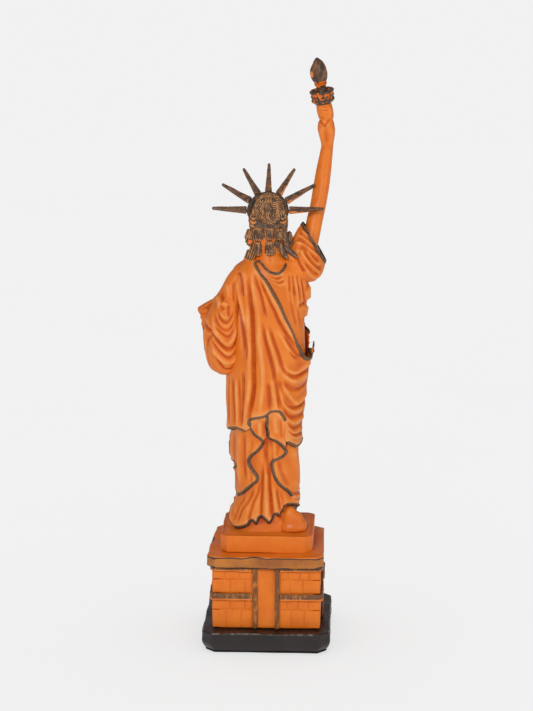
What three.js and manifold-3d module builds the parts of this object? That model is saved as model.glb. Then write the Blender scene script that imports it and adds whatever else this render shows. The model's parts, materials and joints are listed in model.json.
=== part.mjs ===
// A souvenir statuette: a robed figure with a rayed crown and a raised torch, on a stepped pedestal.
// Every casting, applied moulding and hidden pin is a mesh of its own.
// Millimetres, +Z up, origin at the middle of the underside. The figure faces -Y; +X is her left.
import * as THREE from "three";
import { mergeVertices } from "three/addons/utils/BufferGeometryUtils.js";
import Module from "manifold-3d";

const wasm = await Module();
wasm.setup();

// ---- Driving dimensions ------------------------------------------------------------------------
const GLUE = 0.3; // clearance wherever a curved piece is seated against its neighbour
const SEAM = 0.1; // glue line between the flat faces of the pedestal stack

// How finely the rounded castings are faceted: sides round them and steps along them.
const ROBE_MESH = { sides: 36, steps: 24 };
const SLEEVE_MESH = { sides: 24, steps: 12 };
const LIMB_MESH = { sides: 16, steps: 24 };
const HAIR_MESH = { sides: 18, steps: 12 };
const CURL_MESH = { sides: 10, steps: 6 };
const TURNED_SIDES = 16;

const FELT = { width: 78, depth: 82, height: 1, chamfer: 6 };
const PLINTH = { width: 82, depth: 86, top: 13.7, chamfer: 6.5, bottomInset: 2.4 };
const PEDESTAL = { width: 69, depth: 69, top: 54.9, chamfer: 4 };
const CORNICE = { width: 74, depth: 74, top: 62.5, chamfer: 5 };
const STEP = { width: 59, depth: 56, top: 74, chamfer: 4.4 };
const PILASTER = { offset: 7, width: 2.8, proud: 1.3 };
const BELT_RAIL = { bottom: 33.2, height: 4.6, proud: 1.7, chamfer: 3 };
const TOP_RAIL = { bottom: 52.4, height: 2.2, proud: 1.2, chamfer: 3 };

// Robed body, outer surface of the under robe: height, centre x, centre y, half width, half depth.
const BODY = [
  [STEP.top + GLUE, 2.6, 0, 24.0, 21.5],
  [80, 2.2, 0, 22.8, 20.4],
  [90, 1.0, 0, 20.8, 18.6],
  [104, 0.8, 0, 19.4, 17.4],
  [122, 1.2, 0, 19.6, 17.4],
  [140, 1.6, 0, 20.6, 17.8],
  [158, 1.0, 0, 22.0, 17.8],
  [175, 0.0, 0, 22.9, 17.2],
  [192, -1.2, 0, 22.4, 16.0],
  [210, -1.7, -0.2, 21.2, 15.0],
  [224, -2.2, -0.4, 22.4, 15.0],
  [236, -1.8, -0.6, 22.2, 14.4],
  [244, -0.6, -0.6, 18.4, 12.0],
  [248.5, 0.4, -0.4, 12.2, 9.0],
];
const BODY_SQUARENESS = 2.25; // superellipse exponent of each section

const OVER_ROBE = {
  skin: 2.6, // how far the cloth stands off the under robe
  hemHeight: 124, // mean height of the lower edge
  hemSwing: 20, // the hem hangs lower on her left and higher on her right
  hipHeight: 185, // lowest point of the upper edge, on her right hip
  shoulderHeight: 243.5, // highest point of the upper edge, on her left shoulder
  cowl: 3.2, // extra fullness where the upper edge rolls at the hip
  cowlSpread: 14, // how far up and down from the hip it fades
  cowlTurn: 0.35, // it sits this far round towards the front, in radians
};

// Drapery over the left forearm: height, centre x, centre y, half width, half depth.
const LEFT_SLEEVE = [
  [175, 27.5, 2, 5.0, 6.0],
  [178.5, 28.0, 1, 9.6, 11.0],
  [186, 28.4, -1, 12.0, 15.0],
  [196, 28.8, -2, 12.6, 17.0],
  [206, 28.8, -2, 12.4, 17.0],
  [214, 27.6, -1, 11.0, 15.0],
  [222, 25.4, 0, 9.0, 12.0],
  [230, 22.8, 0, 7.2, 10.0],
  [238, 19.6, 0, 6.0, 8.6],
  [244.5, 16.6, 0, 3.4, 5.4],
];

const TABLET = { width: 16, height: 32, thickness: 4.6, chamfer: 1.2 };
const TABLET_PLACE = { x: 33.2, y: -20, z: 203.2, turn: 0.32, lean: -0.1, roll: 0.5 };

// Raised arm: centre line and radius from the shoulder to the heel of the hand.
const ARM = [
  [-22.5, -2.0, 243, 5.2],
  [-25.2, -4.6, 253, 5.0],
  [-27.2, -6.8, 262, 5.0],
  [-28.9, -9.2, 272, 5.2],
  [-30.9, -11.2, 281, 5.1],
  [-32.9, -13.4, 293, 5.1],
  [-34.3, -14.6, 303, 4.8],
  [-35.9, -15.0, 314, 4.1],
  [-36.6, -15.0, 320, 3.8],
  [-36.3, -15.0, 325, 4.9],
  [-35.9, -14.9, 329, 5.5],
  [-35.7, -14.8, 333, 5.1],
  [-35.8, -14.6, 335.4, 4.2],
];

const TORCH_FOOT = new THREE.Vector3(-35.7, -14.4, 335.4);
const TORCH_LEAN = new THREE.Vector3(0.155, 0.17, 1).normalize();

// Right sleeve from shoulder to cuff: centre x, y and z, half height along the cuff's slant, half depth.
const RIGHT_SLEEVE = [
  [-12.5, -0.8, 240.5, 9.0, 8.6],
  [-17.0, -1.2, 243.4, 12.0, 10.4],
  [-21.6, -2.4, 247.0, 14.6, 10.8],
  [-25.8, -4.2, 252.4, 15.8, 9.6],
  [-29.0, -6.4, 259.2, 15.2, 7.8],
];
const CUFF_SLANT = 1.03; // angle of the cuff edge above +X, in radians

// Neck and bare upper back: height, centre x, centre y, half width, half depth.
const NECK = [
  [240, -2.0, 0.4, 5.0, 5.0],
  [243, -2.4, 1.0, 7.8, 8.6],
  [247, -2.4, 1.2, 8.8, 8.9],
  [251, -1.6, 0.8, 7.6, 7.4],
  [255, -0.6, 0.2, 6.0, 6.2],
  [259, 0.1, -0.2, 5.3, 5.7],
  [266, 0.4, -0.4, 5.2, 5.8],
];
const HEAD = { x: 0.5, y: -2.6, z: 273.6, halfWidth: 7.4, halfDepth: 8.6, halfHeight: 11.6 };
const HAIR_DOME = { x: -0.3, y: 2.2, z: 280.2, halfWidth: 9.6, halfDepth: 9.0, halfHeight: 10.4 };
const HAIR_ROLL = { x: 9.4, y: 0.6, z: 272, halfWidth: 3.0, halfDepth: 5.4, halfHeight: 8.6 };

// Ringlets on the nape: x, z, half width, half height. All hang at one depth.
const RINGLETS = [
  [5.4, 265.4, 3.0, 4.4],
  [-1.6, 265.6, 3.5, 4.2],
  [-7.3, 265.2, 2.4, 4.0],
  [5.9, 256.4, 2.6, 4.8],
  [-1.7, 257.0, 3.6, 4.6],
  [-7.6, 256.6, 2.6, 4.8],
];
const RINGLET = { y: 6.6, halfDepth: 3.2 };
const NAPE = { x: -0.6, y: 4.4, z: 261.2, halfWidth: 9.2, halfDepth: 3.4, halfHeight: 10 };

// Loose locks that lie on each shoulder: height, centre x, centre y, half width, half depth.
const LEFT_LOCK = [
  [249.4, 13.6, 5.4, 3.4, 2.0],
  [253, 12.6, 5.8, 3.0, 2.4],
  [257, 11.6, 5.6, 2.4, 2.6],
  [261, 12.4, 4.6, 3.0, 3.2],
  [265, 12.0, 3.4, 2.6, 2.8],
  [268, 11.4, 2.6, 1.4, 1.6],
];
const RIGHT_LOCK = [
  [248.6, -16.6, 6.0, 3.0, 1.8],
  [252, -14.8, 6.2, 3.2, 2.2],
  [256, -12.6, 5.6, 2.4, 2.6],
  [261, -12.0, 4.4, 2.2, 2.8],
  [266, -11.8, 3.0, 1.8, 2.2],
];

// The crown lies in one plane that leans forward at the top.
const CROWN = { x: 0.4, y: 0.5, z: 279, tilt: 0.56, inner: 10.4, outer: 13.2, depth: 3, droop: 0.24 };
const RAY = {
  count: 7,
  first: 3, // degrees above the crown's left
  pitch: 29,
  sideReach: 35.4,
  topReach: 33,
  root: { width: 4.4, depth: 2.9 },
  tip: { width: 1.6, depth: 2.2 },
};

// Torch profiles: radius and distance along the torch from the heel of the hand.
const TORCH_HANDLE = [[0, 1.2], [2.4, 1.2], [2.9, 4], [3.6, 8], [4.6, 10.4], [0, 10.4]];
const TORCH_GALLERY = [
  [0, 10.7], [4.8, 10.7], [6.4, 12], [7.3, 13.4], [6.7, 14.6], [7.4, 16], [7.8, 18.6],
  [7.1, 19.6], [5.8, 19.2], [5.4, 18.4], [0, 18.2],
];
const TORCH_CUP = [[0, 18.5], [3.3, 18.5], [2.9, 21], [3.7, 22.6], [3.8, 23.8], [0, 23.8]];
const TORCH_FLAME = [
  [0, 24.1], [3.3, 24.1], [4.9, 27], [5.4, 30], [4.8, 33.4], [3.2, 36.8], [1.4, 39.2], [0, 40.4],
];

// Fist round the handle: height, centre x, centre y, half width, half depth.
const FIST = [
  [335.7, -35.7, -14.3, 4.4, 4.2],
  [338, -35.5, -13.9, 5.0, 4.7],
  [341.5, -34.9, -13.3, 5.2, 4.9],
  [344.6, -34.4, -12.8, 4.8, 4.6],
];
const LEFT_HAND = [
  [195.5, 40.0, -17, 2.2, 4.0],
  [199, 42.0, -17, 3.4, 6.0],
  [206, 42.8, -17, 3.6, 6.6],
  [212, 42.6, -17, 3.0, 5.6],
  [214.5, 42.2, -17, 1.8, 3.4],
];

// Feet: heel and toe points on the step, and the half width and half height of the foot.
const RIGHT_FOOT = { heel: [-14.5, 17, 81.4], toe: [-22.6, 15.4, 77.6], girth: [4.6, 3.6] };
const LEFT_FOOT = { heel: [8, -14, 77.4], toe: [9.4, -23.4, 76.2], girth: [4.4, 2.6] };

const DOWEL = { radius: 3, bottom: 60, top: 92 };
const SHOULDER_PIN = { radius: 1.2, length: 15 };

// ---- Materials -----------------------------------------------------------------------------------
function paint(color, roughness, metalness = 0) {
  return new THREE.MeshStandardMaterial({ color, roughness, metalness });
}

const ORANGE = paint(0xd9722f, 0.5);
const BRONZE = paint(0x5b4028, 0.42, 0.15);
const UMBER = paint(0x9a6132, 0.45, 0.1);
const BLACK = paint(0x352e2c, 0.35);
const FELT_GREEN = paint(0x1f2a22, 0.95);
const STEEL = paint(0x9a9da1, 0.35, 1);

// ---- Helpers -------------------------------------------------------------------------------------
const statuette = new THREE.Group();

function add(name, geometry, material) {
  const mesh = new THREE.Mesh(geometry, material);
  mesh.name = name;
  statuette.add(mesh);
  return mesh;
}

// Rows of [key, a, b, ...] become a smooth function from key to [a, b, ...].
function smooth(rows) {
  const keys = rows.map((row) => row[0]);
  const width = rows[0].length - 1;
  const values = rows.flatMap((row) => row.slice(1));
  const curve = new THREE.CubicInterpolant(keys, values, width, new Float32Array(width));
  return (key) => Array.from(curve.evaluate(THREE.MathUtils.clamp(key, keys[0], keys.at(-1))));
}

// Moves every vertex of a geometry that was made round the Y axis: place(angle, radius, height).
function reshape(geometry, place) {
  const position = geometry.getAttribute("position");
  for (let i = 0; i < position.count; i++) {
    const [x, y, z] = [position.getX(i), position.getY(i), position.getZ(i)];
    const point = place(Math.atan2(-z, x), Math.hypot(x, z), y);
    position.setXYZ(i, point.x, point.y, point.z);
  }
  return geometry;
}

const power = (value, exponent) => Math.sign(value) * Math.abs(value) ** exponent;

// A point of a superellipse section at an angle.
function onSection(angle, [cx, cy, halfWidth, halfDepth], z, share = 1, squareness = 2) {
  const x = cx + share * halfWidth * power(Math.cos(angle), 2 / squareness);
  const y = cy + share * halfDepth * power(Math.sin(angle), 2 / squareness);
  return new THREE.Vector3(x, y, z);
}

// A closed column whose sections follow rows of [height, centre x, centre y, half width, half depth].
function column(rows, { sides, steps }, squareness = 2) {
  const sectionAt = smooth(rows);
  const [bottom, top] = [rows[0][0], rows.at(-1)[0]];
  const blank = new THREE.CylinderGeometry(1, 1, 1, sides, steps);
  return reshape(blank, (angle, radius, height) => {
    const z = THREE.MathUtils.lerp(bottom, top, height + 0.5);
    return onSection(angle, sectionAt(z), z, radius, squareness);
  });
}

// The same rows grown sideways all round, to cut a clearance with.
const grown = (rows, grow) => rows.map(([z, x, y, w, d]) => [z, x, y, w + grow, d + grow]);

function octagon(width, depth, chamfer) {
  const [w, d] = [width / 2, depth / 2];
  return new THREE.Shape([
    [w, -d + chamfer], [w, d - chamfer], [w - chamfer, d], [-w + chamfer, d],
    [-w, d - chamfer], [-w, -d + chamfer], [-w + chamfer, -d], [w - chamfer, -d],
  ].map(([x, y]) => new THREE.Vector2(x, y)));
}

function extrude(shape, bottom, top) {
  const geometry = new THREE.ExtrudeGeometry(shape, { depth: top - bottom, bevelEnabled: false });
  return geometry.translate(0, 0, bottom);
}

function slab({ width, depth, chamfer }, bottom, top) {
  return extrude(octagon(width, depth, chamfer), bottom, top);
}

// The turn that lays a shape made along the Y axis along a direction instead.
function turnTo(direction) {
  const upright = new THREE.Vector3(0, 1, 0);
  return new THREE.Quaternion().setFromUnitVectors(upright, direction.clone().normalize());
}

// A rod between two points.
function rod(from, to, radius) {
  const along = new THREE.Vector3().subVectors(to, from);
  const geometry = new THREE.CylinderGeometry(radius, radius, along.length(), TURNED_SIDES);
  geometry.applyQuaternion(turnTo(along));
  return geometry.translate(...from.clone().addScaledVector(along, 0.5).toArray());
}

// Booleans: geometry to solid and back.
function solid(geometry) {
  const bare = geometry.clone();
  bare.deleteAttribute("normal");
  bare.deleteAttribute("uv");
  const merged = mergeVertices(bare, 1e-3);
  return new wasm.Manifold(new wasm.Mesh({
    numProp: 3,
    vertProperties: merged.getAttribute("position").array,
    triVerts: new Uint32Array(merged.index.array),
  }));
}

function geometryOf(manifold) {
  const { vertProperties, triVerts } = manifold.getMesh();
  const geometry = new THREE.BufferGeometry();
  geometry.setAttribute("position", new THREE.BufferAttribute(vertProperties, 3));
  geometry.setIndex(new THREE.BufferAttribute(triVerts, 1));
  geometry.computeVertexNormals();
  return geometry;
}

// Cuts tools out of a geometry and keeps its largest remaining body.
function cut(geometry, ...tools) {
  const rest = tools.reduce((left, tool) => left.subtract(solid(tool)), solid(geometry));
  const bodies = rest.decompose().sort((a, b) => b.volume() - a.volume());
  return geometryOf(bodies[0]);
}

// ---- Plinth and pedestal -------------------------------------------------------------------------
function plinth() {
  const { width, depth, top, chamfer, bottomInset } = PLINTH;
  const bottom = FELT.height + SEAM;
  const geometry = slab({ width, depth, chamfer }, bottom, top);
  const position = geometry.getAttribute("position");
  const [shrinkX, shrinkY] = [1 - (2 * bottomInset) / width, 1 - (2 * bottomInset) / depth];
  for (let i = 0; i < position.count; i++) {
    if (position.getZ(i) > bottom + SEAM) continue;
    position.setXY(i, position.getX(i) * shrinkX, position.getY(i) * shrinkY);
  }
  return geometry;
}

add("base_felt", slab(FELT, 0, FELT.height), FELT_GREEN);
add("base_plinth", plinth(), BLACK);
add("pedestal_block", slab(PEDESTAL, PLINTH.top + SEAM, PEDESTAL.top), ORANGE);

const dowel = (grow) => rod(
  new THREE.Vector3(0, 0, DOWEL.bottom - grow),
  new THREE.Vector3(0, 0, DOWEL.top + grow),
  DOWEL.radius + grow,
);
const dowelHole = dowel(GLUE);
add("cornice_slab", cut(slab(CORNICE, PEDESTAL.top + SEAM, CORNICE.top), dowelHole), UMBER);
add("top_step", cut(slab(STEP, CORNICE.top + SEAM, STEP.top), dowelHole), ORANGE);

const FACES = ["back", "left", "front", "right"];
const QUARTER = Math.PI / 2;

function pilaster(side) {
  const bottom = PLINTH.top + GLUE;
  const strip = new THREE.BoxGeometry(PILASTER.width, PILASTER.proud, PEDESTAL.top - bottom);
  const reach = PEDESTAL.depth / 2 + GLUE + PILASTER.proud / 2;
  return strip.translate(side * PILASTER.offset, reach, (PEDESTAL.top + bottom) / 2);
}

FACES.forEach((face, turns) => {
  for (const [side, sideName] of [[1, "a"], [-1, "b"]]) {
    const mesh = add(`pilaster_${face}_${sideName}`, pilaster(side), BRONZE);
    mesh.rotation.z = -turns * QUARTER;
  }
});

// A rail that wraps one corner of the pedestal, from pilaster to pilaster.
function cornerRail({ bottom, height, proud, chamfer }) {
  const inner = PEDESTAL.width / 2 + GLUE;
  const outer = inner + proud;
  const end = PILASTER.offset + PILASTER.width / 2 + GLUE;
  const nick = PEDESTAL.chamfer + GLUE / 2;
  const shape = new THREE.Shape([
    [end, outer], [end, inner], [inner - nick, inner], [inner, inner - nick], [inner, end],
    [outer, end], [outer, outer - chamfer], [outer - chamfer, outer],
  ].map(([x, y]) => new THREE.Vector2(x, y)));
  return extrude(shape, bottom, bottom + height);
}

["back_left", "front_left", "front_right", "back_right"].forEach((corner, turns) => {
  for (const [name, rail] of [["belt_rail", BELT_RAIL], ["top_rail", TOP_RAIL]]) {
    add(`${name}_${corner}`, cornerRail(rail), BRONZE).rotation.z = -turns * QUARTER;
  }
});

// ---- Robes ---------------------------------------------------------------------------------------
const bodyAt = smooth(BODY);

function onBody(angle, z, stand = 0) {
  const [cx, cy, halfWidth, halfDepth] = bodyAt(z);
  return onSection(angle, [cx, cy, halfWidth + stand, halfDepth + stand], z, 1, BODY_SQUARENESS);
}

// Upper edge of the over robe: down to the right hip, up to the left shoulder.
function overRobeTop(angle) {
  const { hipHeight, shoulderHeight } = OVER_ROBE;
  const towardsShoulder = (1 + Math.cos(angle)) / 2;
  return THREE.MathUtils.lerp(hipHeight, shoulderHeight, Math.min(1, 1.18 * towardsShoulder ** 0.8));
}

const overRobeHem = (angle) => OVER_ROBE.hemHeight - OVER_ROBE.hemSwing * Math.cos(angle + 0.5) * 0.5;

// A wall of cloth all the way round the body, before the body's clearance is cut out of it.
function overRobe() {
  const [inner, outer, steps] = [1, 2, ROBE_MESH.steps / 2];
  const profile = [];
  for (let i = 0; i <= steps; i++) profile.push(new THREE.Vector2(outer, i / steps));
  for (let i = steps; i >= 0; i--) profile.push(new THREE.Vector2(inner, i / steps));
  profile.push(profile[0].clone());
  return reshape(new THREE.LatheGeometry(profile, ROBE_MESH.sides), (angle, radius, height) => {
    const z = THREE.MathUtils.lerp(overRobeHem(angle), overRobeTop(angle), height);
    const besideHip = Math.max(0, -Math.cos(angle - OVER_ROBE.cowlTurn)) ** 2;
    const nearHip = besideHip * Math.exp(-(((z - OVER_ROBE.hipHeight) / OVER_ROBE.cowlSpread) ** 2));
    const thinTop = Math.min(1, 0.45 + 4 * (1 - height));
    const thinHem = Math.min(1, 0.6 + 4 * height);
    const stand = OVER_ROBE.skin * thinTop * thinHem + OVER_ROBE.cowl * nearHip;
    return onBody(angle, z, radius > (inner + outer) / 2 ? stand : 0);
  });
}

const robeBody = (grow) => column(grown(BODY, grow), ROBE_MESH, BODY_SQUARENESS);
const bodyClearance = robeBody(GLUE);
const overRobeClearance = robeBody(OVER_ROBE.skin + 2 * GLUE);
const neckClearance = column(grown(NECK, GLUE), HAIR_MESH);
const overRobeGeometry = cut(overRobe(), bodyClearance);
add("over_robe", overRobeGeometry, ORANGE);

// ---- Left arm and tablet -------------------------------------------------------------------------
function tabletBlank(grow = 0) {
  const { width, height, thickness, chamfer } = TABLET;
  const shape = octagon(width + 2 * grow, height + 2 * grow, chamfer);
  const geometry = extrude(shape, -thickness / 2 - grow, thickness / 2 + grow).rotateX(QUARTER);
  geometry.rotateY(TABLET_PLACE.roll).rotateX(TABLET_PLACE.lean).rotateZ(TABLET_PLACE.turn);
  return geometry.translate(TABLET_PLACE.x, TABLET_PLACE.y, TABLET_PLACE.z);
}

const leftSleeve = (grow) => column(grown(LEFT_SLEEVE, grow), SLEEVE_MESH);
const leftSleeveGeometry = cut(leftSleeve(0), overRobeClearance, tabletBlank(GLUE));
add("left_sleeve", leftSleeveGeometry, ORANGE);
add("tablet", cut(tabletBlank(), overRobeClearance), ORANGE);
add("left_hand", cut(column(LEFT_HAND, CURL_MESH), tabletBlank(GLUE), leftSleeve(GLUE)), ORANGE);

// ---- Raised arm, sleeve and torch ----------------------------------------------------------------
const armLine = new THREE.CatmullRomCurve3(ARM.map(([x, y, z]) => new THREE.Vector3(x, y, z)));
const armRadius = smooth(ARM.map(([, , z, radius]) => [z, radius]));

// The arm, a round limb about its centre line.
function limb(grow) {
  const blank = new THREE.CylinderGeometry(1, 1, 1, LIMB_MESH.sides, LIMB_MESH.steps);
  return reshape(blank, (angle, radius, height) => {
    const centre = armLine.getPoint(height + 0.5);
    const girth = radius * (armRadius(centre.z)[0] + grow);
    return onSection(angle, [centre.x, centre.y, girth, girth], centre.z);
  });
}

function rightSleeve(grow) {
  const sectionAt = smooth(RIGHT_SLEEVE.map((row, i) => [i / (RIGHT_SLEEVE.length - 1), ...row]));
  const blank = new THREE.CylinderGeometry(1, 1, 1, SLEEVE_MESH.sides, SLEEVE_MESH.steps);
  const along = new THREE.Vector3(Math.cos(CUFF_SLANT), 0, Math.sin(CUFF_SLANT));
  return reshape(blank, (angle, radius, height) => {
    const [cx, cy, cz, halfHeight, halfDepth] = sectionAt(height + 0.5);
    const centre = new THREE.Vector3(cx, cy, cz);
    centre.addScaledVector(along, radius * (halfHeight + grow) * Math.cos(angle));
    return centre.setY(centre.y + radius * (halfDepth + grow) * Math.sin(angle));
  });
}

const shoulder = armLine.getPoint(0);
const upTheArm = armLine.getTangent(0);
const pin = (grow) => rod(
  shoulder.clone().addScaledVector(upTheArm, -SHOULDER_PIN.length / 2 - grow),
  shoulder.clone().addScaledVector(upTheArm, SHOULDER_PIN.length / 2 + grow),
  SHOULDER_PIN.radius + grow,
);

add("figure_dowel", dowel(0), STEEL);
add("shoulder_pin", pin(0), STEEL);
const pinBore = pin(GLUE);
const sleeveSeats = [bodyClearance, neckClearance, limb(GLUE), pinBore, overRobeGeometry];
add("right_sleeve", cut(rightSleeve(0), ...sleeveSeats), ORANGE);
add("right_arm", cut(limb(0), pinBore), ORANGE);

// A turned torch piece, leaned into place.
function turned(profile, grow = 0) {
  const points = profile.map(([radius, along]) => new THREE.Vector2(radius ? radius + grow : 0, along));
  const geometry = new THREE.LatheGeometry(points, TURNED_SIDES).applyQuaternion(turnTo(TORCH_LEAN));
  return geometry.translate(TORCH_FOOT.x, TORCH_FOOT.y, TORCH_FOOT.z);
}

add("torch_handle", turned(TORCH_HANDLE), ORANGE);
add("torch_gallery", turned(TORCH_GALLERY), BRONZE);
add("torch_cup", turned(TORCH_CUP), BRONZE);
add("torch_flame", turned(TORCH_FLAME), BRONZE);
const fist = column(FIST, SLEEVE_MESH);
add("right_hand", cut(fist, turned(TORCH_HANDLE, GLUE), turned(TORCH_GALLERY, GLUE)), ORANGE);

// ---- Head, hair and crown --------------------------------------------------------------------------
function egg({ x, y, z, halfWidth, halfDepth, halfHeight }, grow = 0, { sides, steps } = HAIR_MESH) {
  const geometry = new THREE.SphereGeometry(1, sides, steps).rotateX(QUARTER);
  return geometry.scale(halfWidth + grow, halfDepth + grow, halfHeight + grow).translate(x, y, z);
}

// Turns a shape drawn in the crown's own plane, x to her left and y up the plane, into its place.
function inCrownPlane(geometry) {
  return geometry.rotateX(QUARTER + CROWN.tilt).translate(CROWN.x, CROWN.y, CROWN.z);
}

function crownBand(grow = 0) {
  const shape = new THREE.Shape();
  shape.absarc(0, 0, CROWN.outer + grow, -CROWN.droop, Math.PI + CROWN.droop, false);
  shape.absarc(0, 0, CROWN.inner - grow, Math.PI + CROWN.droop, -CROWN.droop, true);
  shape.closePath();
  const half = CROWN.depth / 2 + grow;
  const options = { depth: 2 * half, bevelEnabled: false, curveSegments: 20 };
  return inCrownPlane(new THREE.ExtrudeGeometry(shape, options).translate(0, 0, -half));
}

// A four-sided ray that tapers from the band to its blunt tip.
function ray(index) {
  const start = CROWN.outer + GLUE;
  const turn = THREE.MathUtils.degToRad(RAY.first + index * RAY.pitch);
  const reach = THREE.MathUtils.lerp(RAY.sideReach, RAY.topReach, Math.sin(turn) ** 2);
  const blank = new THREE.CylinderGeometry(Math.SQRT1_2, Math.SQRT1_2, 1, 4, 1).rotateY(Math.PI / 4);
  const position = blank.getAttribute("position");
  for (let i = 0; i < position.count; i++) {
    const share = position.getY(i) + 0.5;
    const width = THREE.MathUtils.lerp(RAY.root.width, RAY.tip.width, share);
    const depth = THREE.MathUtils.lerp(RAY.root.depth, RAY.tip.depth, share);
    const along = THREE.MathUtils.lerp(start, reach, share);
    position.setXYZ(i, along, position.getX(i) * width, position.getZ(i) * depth * -1);
  }
  return inCrownPlane(blank.rotateZ(turn));
}

const head = egg(HEAD);
const headClearance = egg(HEAD, GLUE);
add("crown_band", cut(crownBand(), headClearance), BRONZE);
for (let i = 0; i < RAY.count; i++) add(`crown_ray_${i + 1}`, ray(i), BRONZE);

// The dome of hair and the roll over each ear.
function hairCap(grow) {
  const roll = (side) => solid(egg({ ...HAIR_ROLL, x: HEAD.x + side * HAIR_ROLL.x }, grow));
  return geometryOf(solid(egg(HAIR_DOME, grow)).add(roll(1)).add(roll(-1)));
}
const hairClearance = hairCap(GLUE);
add("hair_cap", cut(hairCap(0), headClearance, neckClearance, crownBand(GLUE)), BRONZE);

// Ringlets and the hair they hang from, as one casting.
function napeCurls(grow) {
  const curls = RINGLETS.map(([x, z, halfWidth, halfHeight]) =>
    solid(egg({ ...RINGLET, x, z, halfWidth, halfHeight }, grow, CURL_MESH)));
  return geometryOf(curls.reduce((all, curl) => all.add(curl), solid(egg(NAPE, grow))));
}
add("nape_curls", cut(napeCurls(0), headClearance, neckClearance, hairClearance), BRONZE);

const lockSeats = [bodyClearance, overRobeGeometry, neckClearance, hairClearance, napeCurls(GLUE)];
add("left_lock", cut(column(LEFT_LOCK, CURL_MESH), ...lockSeats, leftSleeve(GLUE)), BRONZE);
add("right_lock", cut(column(RIGHT_LOCK, CURL_MESH), ...lockSeats, rightSleeve(GLUE)), BRONZE);
add("head", head, ORANGE);
add("neck", cut(column(NECK, HAIR_MESH), headClearance), ORANGE);
add("under_robe", cut(robeBody(0), dowelHole, limb(GLUE), pinBore, neckClearance), ORANGE);

// ---- Feet ------------------------------------------------------------------------------------------
function foot({ heel, toe, girth: [halfWidth, halfHeight] }) {
  const [from, to] = [new THREE.Vector3(...heel), new THREE.Vector3(...toe)];
  const middle = from.clone().add(to).multiplyScalar(0.5);
  const blank = new THREE.CapsuleGeometry(1, from.distanceTo(to), 4, 12);
  const geometry = blank.scale(halfHeight, 1, halfHeight).applyQuaternion(turnTo(to.clone().sub(from)));
  return geometry.scale(halfWidth / halfHeight, 1, 1).translate(middle.x, middle.y, middle.z);
}

const underFoot = slab(STEP, CORNICE.top, STEP.top + GLUE);
add("right_foot", cut(foot(RIGHT_FOOT), bodyClearance, underFoot), ORANGE);
add("left_foot", cut(foot(LEFT_FOOT), bodyClearance, underFoot), ORANGE);

export default statuette;
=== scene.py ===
# %% [markdown]
# # A painted resin statuette
# The design comes from the frame: every size and place below is read from it or named in millimetres
# in the same axes. The figure faces -Y, her left hand is on +X, and the model is seen from behind.

# %% Load the frame
import json
import math

import bpy
import numpy as np
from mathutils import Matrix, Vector

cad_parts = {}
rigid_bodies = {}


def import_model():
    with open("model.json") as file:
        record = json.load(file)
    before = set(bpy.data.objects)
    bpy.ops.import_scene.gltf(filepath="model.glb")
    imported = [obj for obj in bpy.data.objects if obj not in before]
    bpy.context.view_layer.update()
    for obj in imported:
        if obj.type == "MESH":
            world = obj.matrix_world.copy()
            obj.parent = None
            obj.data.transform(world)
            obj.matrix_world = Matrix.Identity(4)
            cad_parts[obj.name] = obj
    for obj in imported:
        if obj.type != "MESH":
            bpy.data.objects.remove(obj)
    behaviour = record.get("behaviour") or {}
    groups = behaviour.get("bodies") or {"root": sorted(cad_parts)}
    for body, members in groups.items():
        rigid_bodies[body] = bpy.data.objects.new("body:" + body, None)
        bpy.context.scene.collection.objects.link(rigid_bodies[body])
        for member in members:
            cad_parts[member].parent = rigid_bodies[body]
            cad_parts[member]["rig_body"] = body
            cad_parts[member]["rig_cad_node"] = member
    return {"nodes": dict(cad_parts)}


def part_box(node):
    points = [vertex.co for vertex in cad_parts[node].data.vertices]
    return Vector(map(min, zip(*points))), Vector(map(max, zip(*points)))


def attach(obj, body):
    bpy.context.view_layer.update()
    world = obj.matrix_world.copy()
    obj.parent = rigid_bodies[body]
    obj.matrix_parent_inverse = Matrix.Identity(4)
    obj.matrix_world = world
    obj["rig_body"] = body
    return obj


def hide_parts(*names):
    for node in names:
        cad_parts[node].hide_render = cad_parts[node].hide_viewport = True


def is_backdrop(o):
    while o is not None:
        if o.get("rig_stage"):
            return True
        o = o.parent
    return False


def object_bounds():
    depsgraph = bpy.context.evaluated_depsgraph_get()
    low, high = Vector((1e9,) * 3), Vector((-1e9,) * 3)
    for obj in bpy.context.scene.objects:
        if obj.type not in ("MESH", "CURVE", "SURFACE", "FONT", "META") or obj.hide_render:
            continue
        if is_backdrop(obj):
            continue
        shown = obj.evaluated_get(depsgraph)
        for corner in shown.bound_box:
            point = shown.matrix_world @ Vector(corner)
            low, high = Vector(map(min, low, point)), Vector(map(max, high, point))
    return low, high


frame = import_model()
cad_low, cad_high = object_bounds()
MM = 0.001
print("CAD box, mm:", [round(1000 * (h - l), 1) for l, h in zip(cad_low, cad_high)])

# %% [markdown]
# ## Camera
# The model is looked at from behind, a little above its middle, from about a metre and a quarter
# away. A long lens keeps the pedestal from bulging, and the view leans 12 degrees down.

# %% Camera
CAMERA_PLACE = Vector((-0.056, 1.262, 0.453))
CAMERA_PITCH, CAMERA_YAW = math.radians(11.94), math.radians(2.60)
sight = Vector((
    math.sin(CAMERA_YAW) * math.cos(CAMERA_PITCH),
    -math.cos(CAMERA_YAW) * math.cos(CAMERA_PITCH),
    -math.sin(CAMERA_PITCH),
))
camera_data = bpy.data.cameras.new("camera")
camera_data.sensor_width = 36
camera_data.lens = 102.1
camera = bpy.data.objects.new("camera", camera_data)
camera.location = CAMERA_PLACE
camera.rotation_euler = sight.to_track_quat("-Z", "Y").to_euler()
bpy.context.scene.collection.objects.link(camera)
bpy.context.scene.camera = camera
bpy.context.scene.view_settings.view_transform = "Standard"
print("Camera looks along", [round(c, 3) for c in sight])

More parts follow.
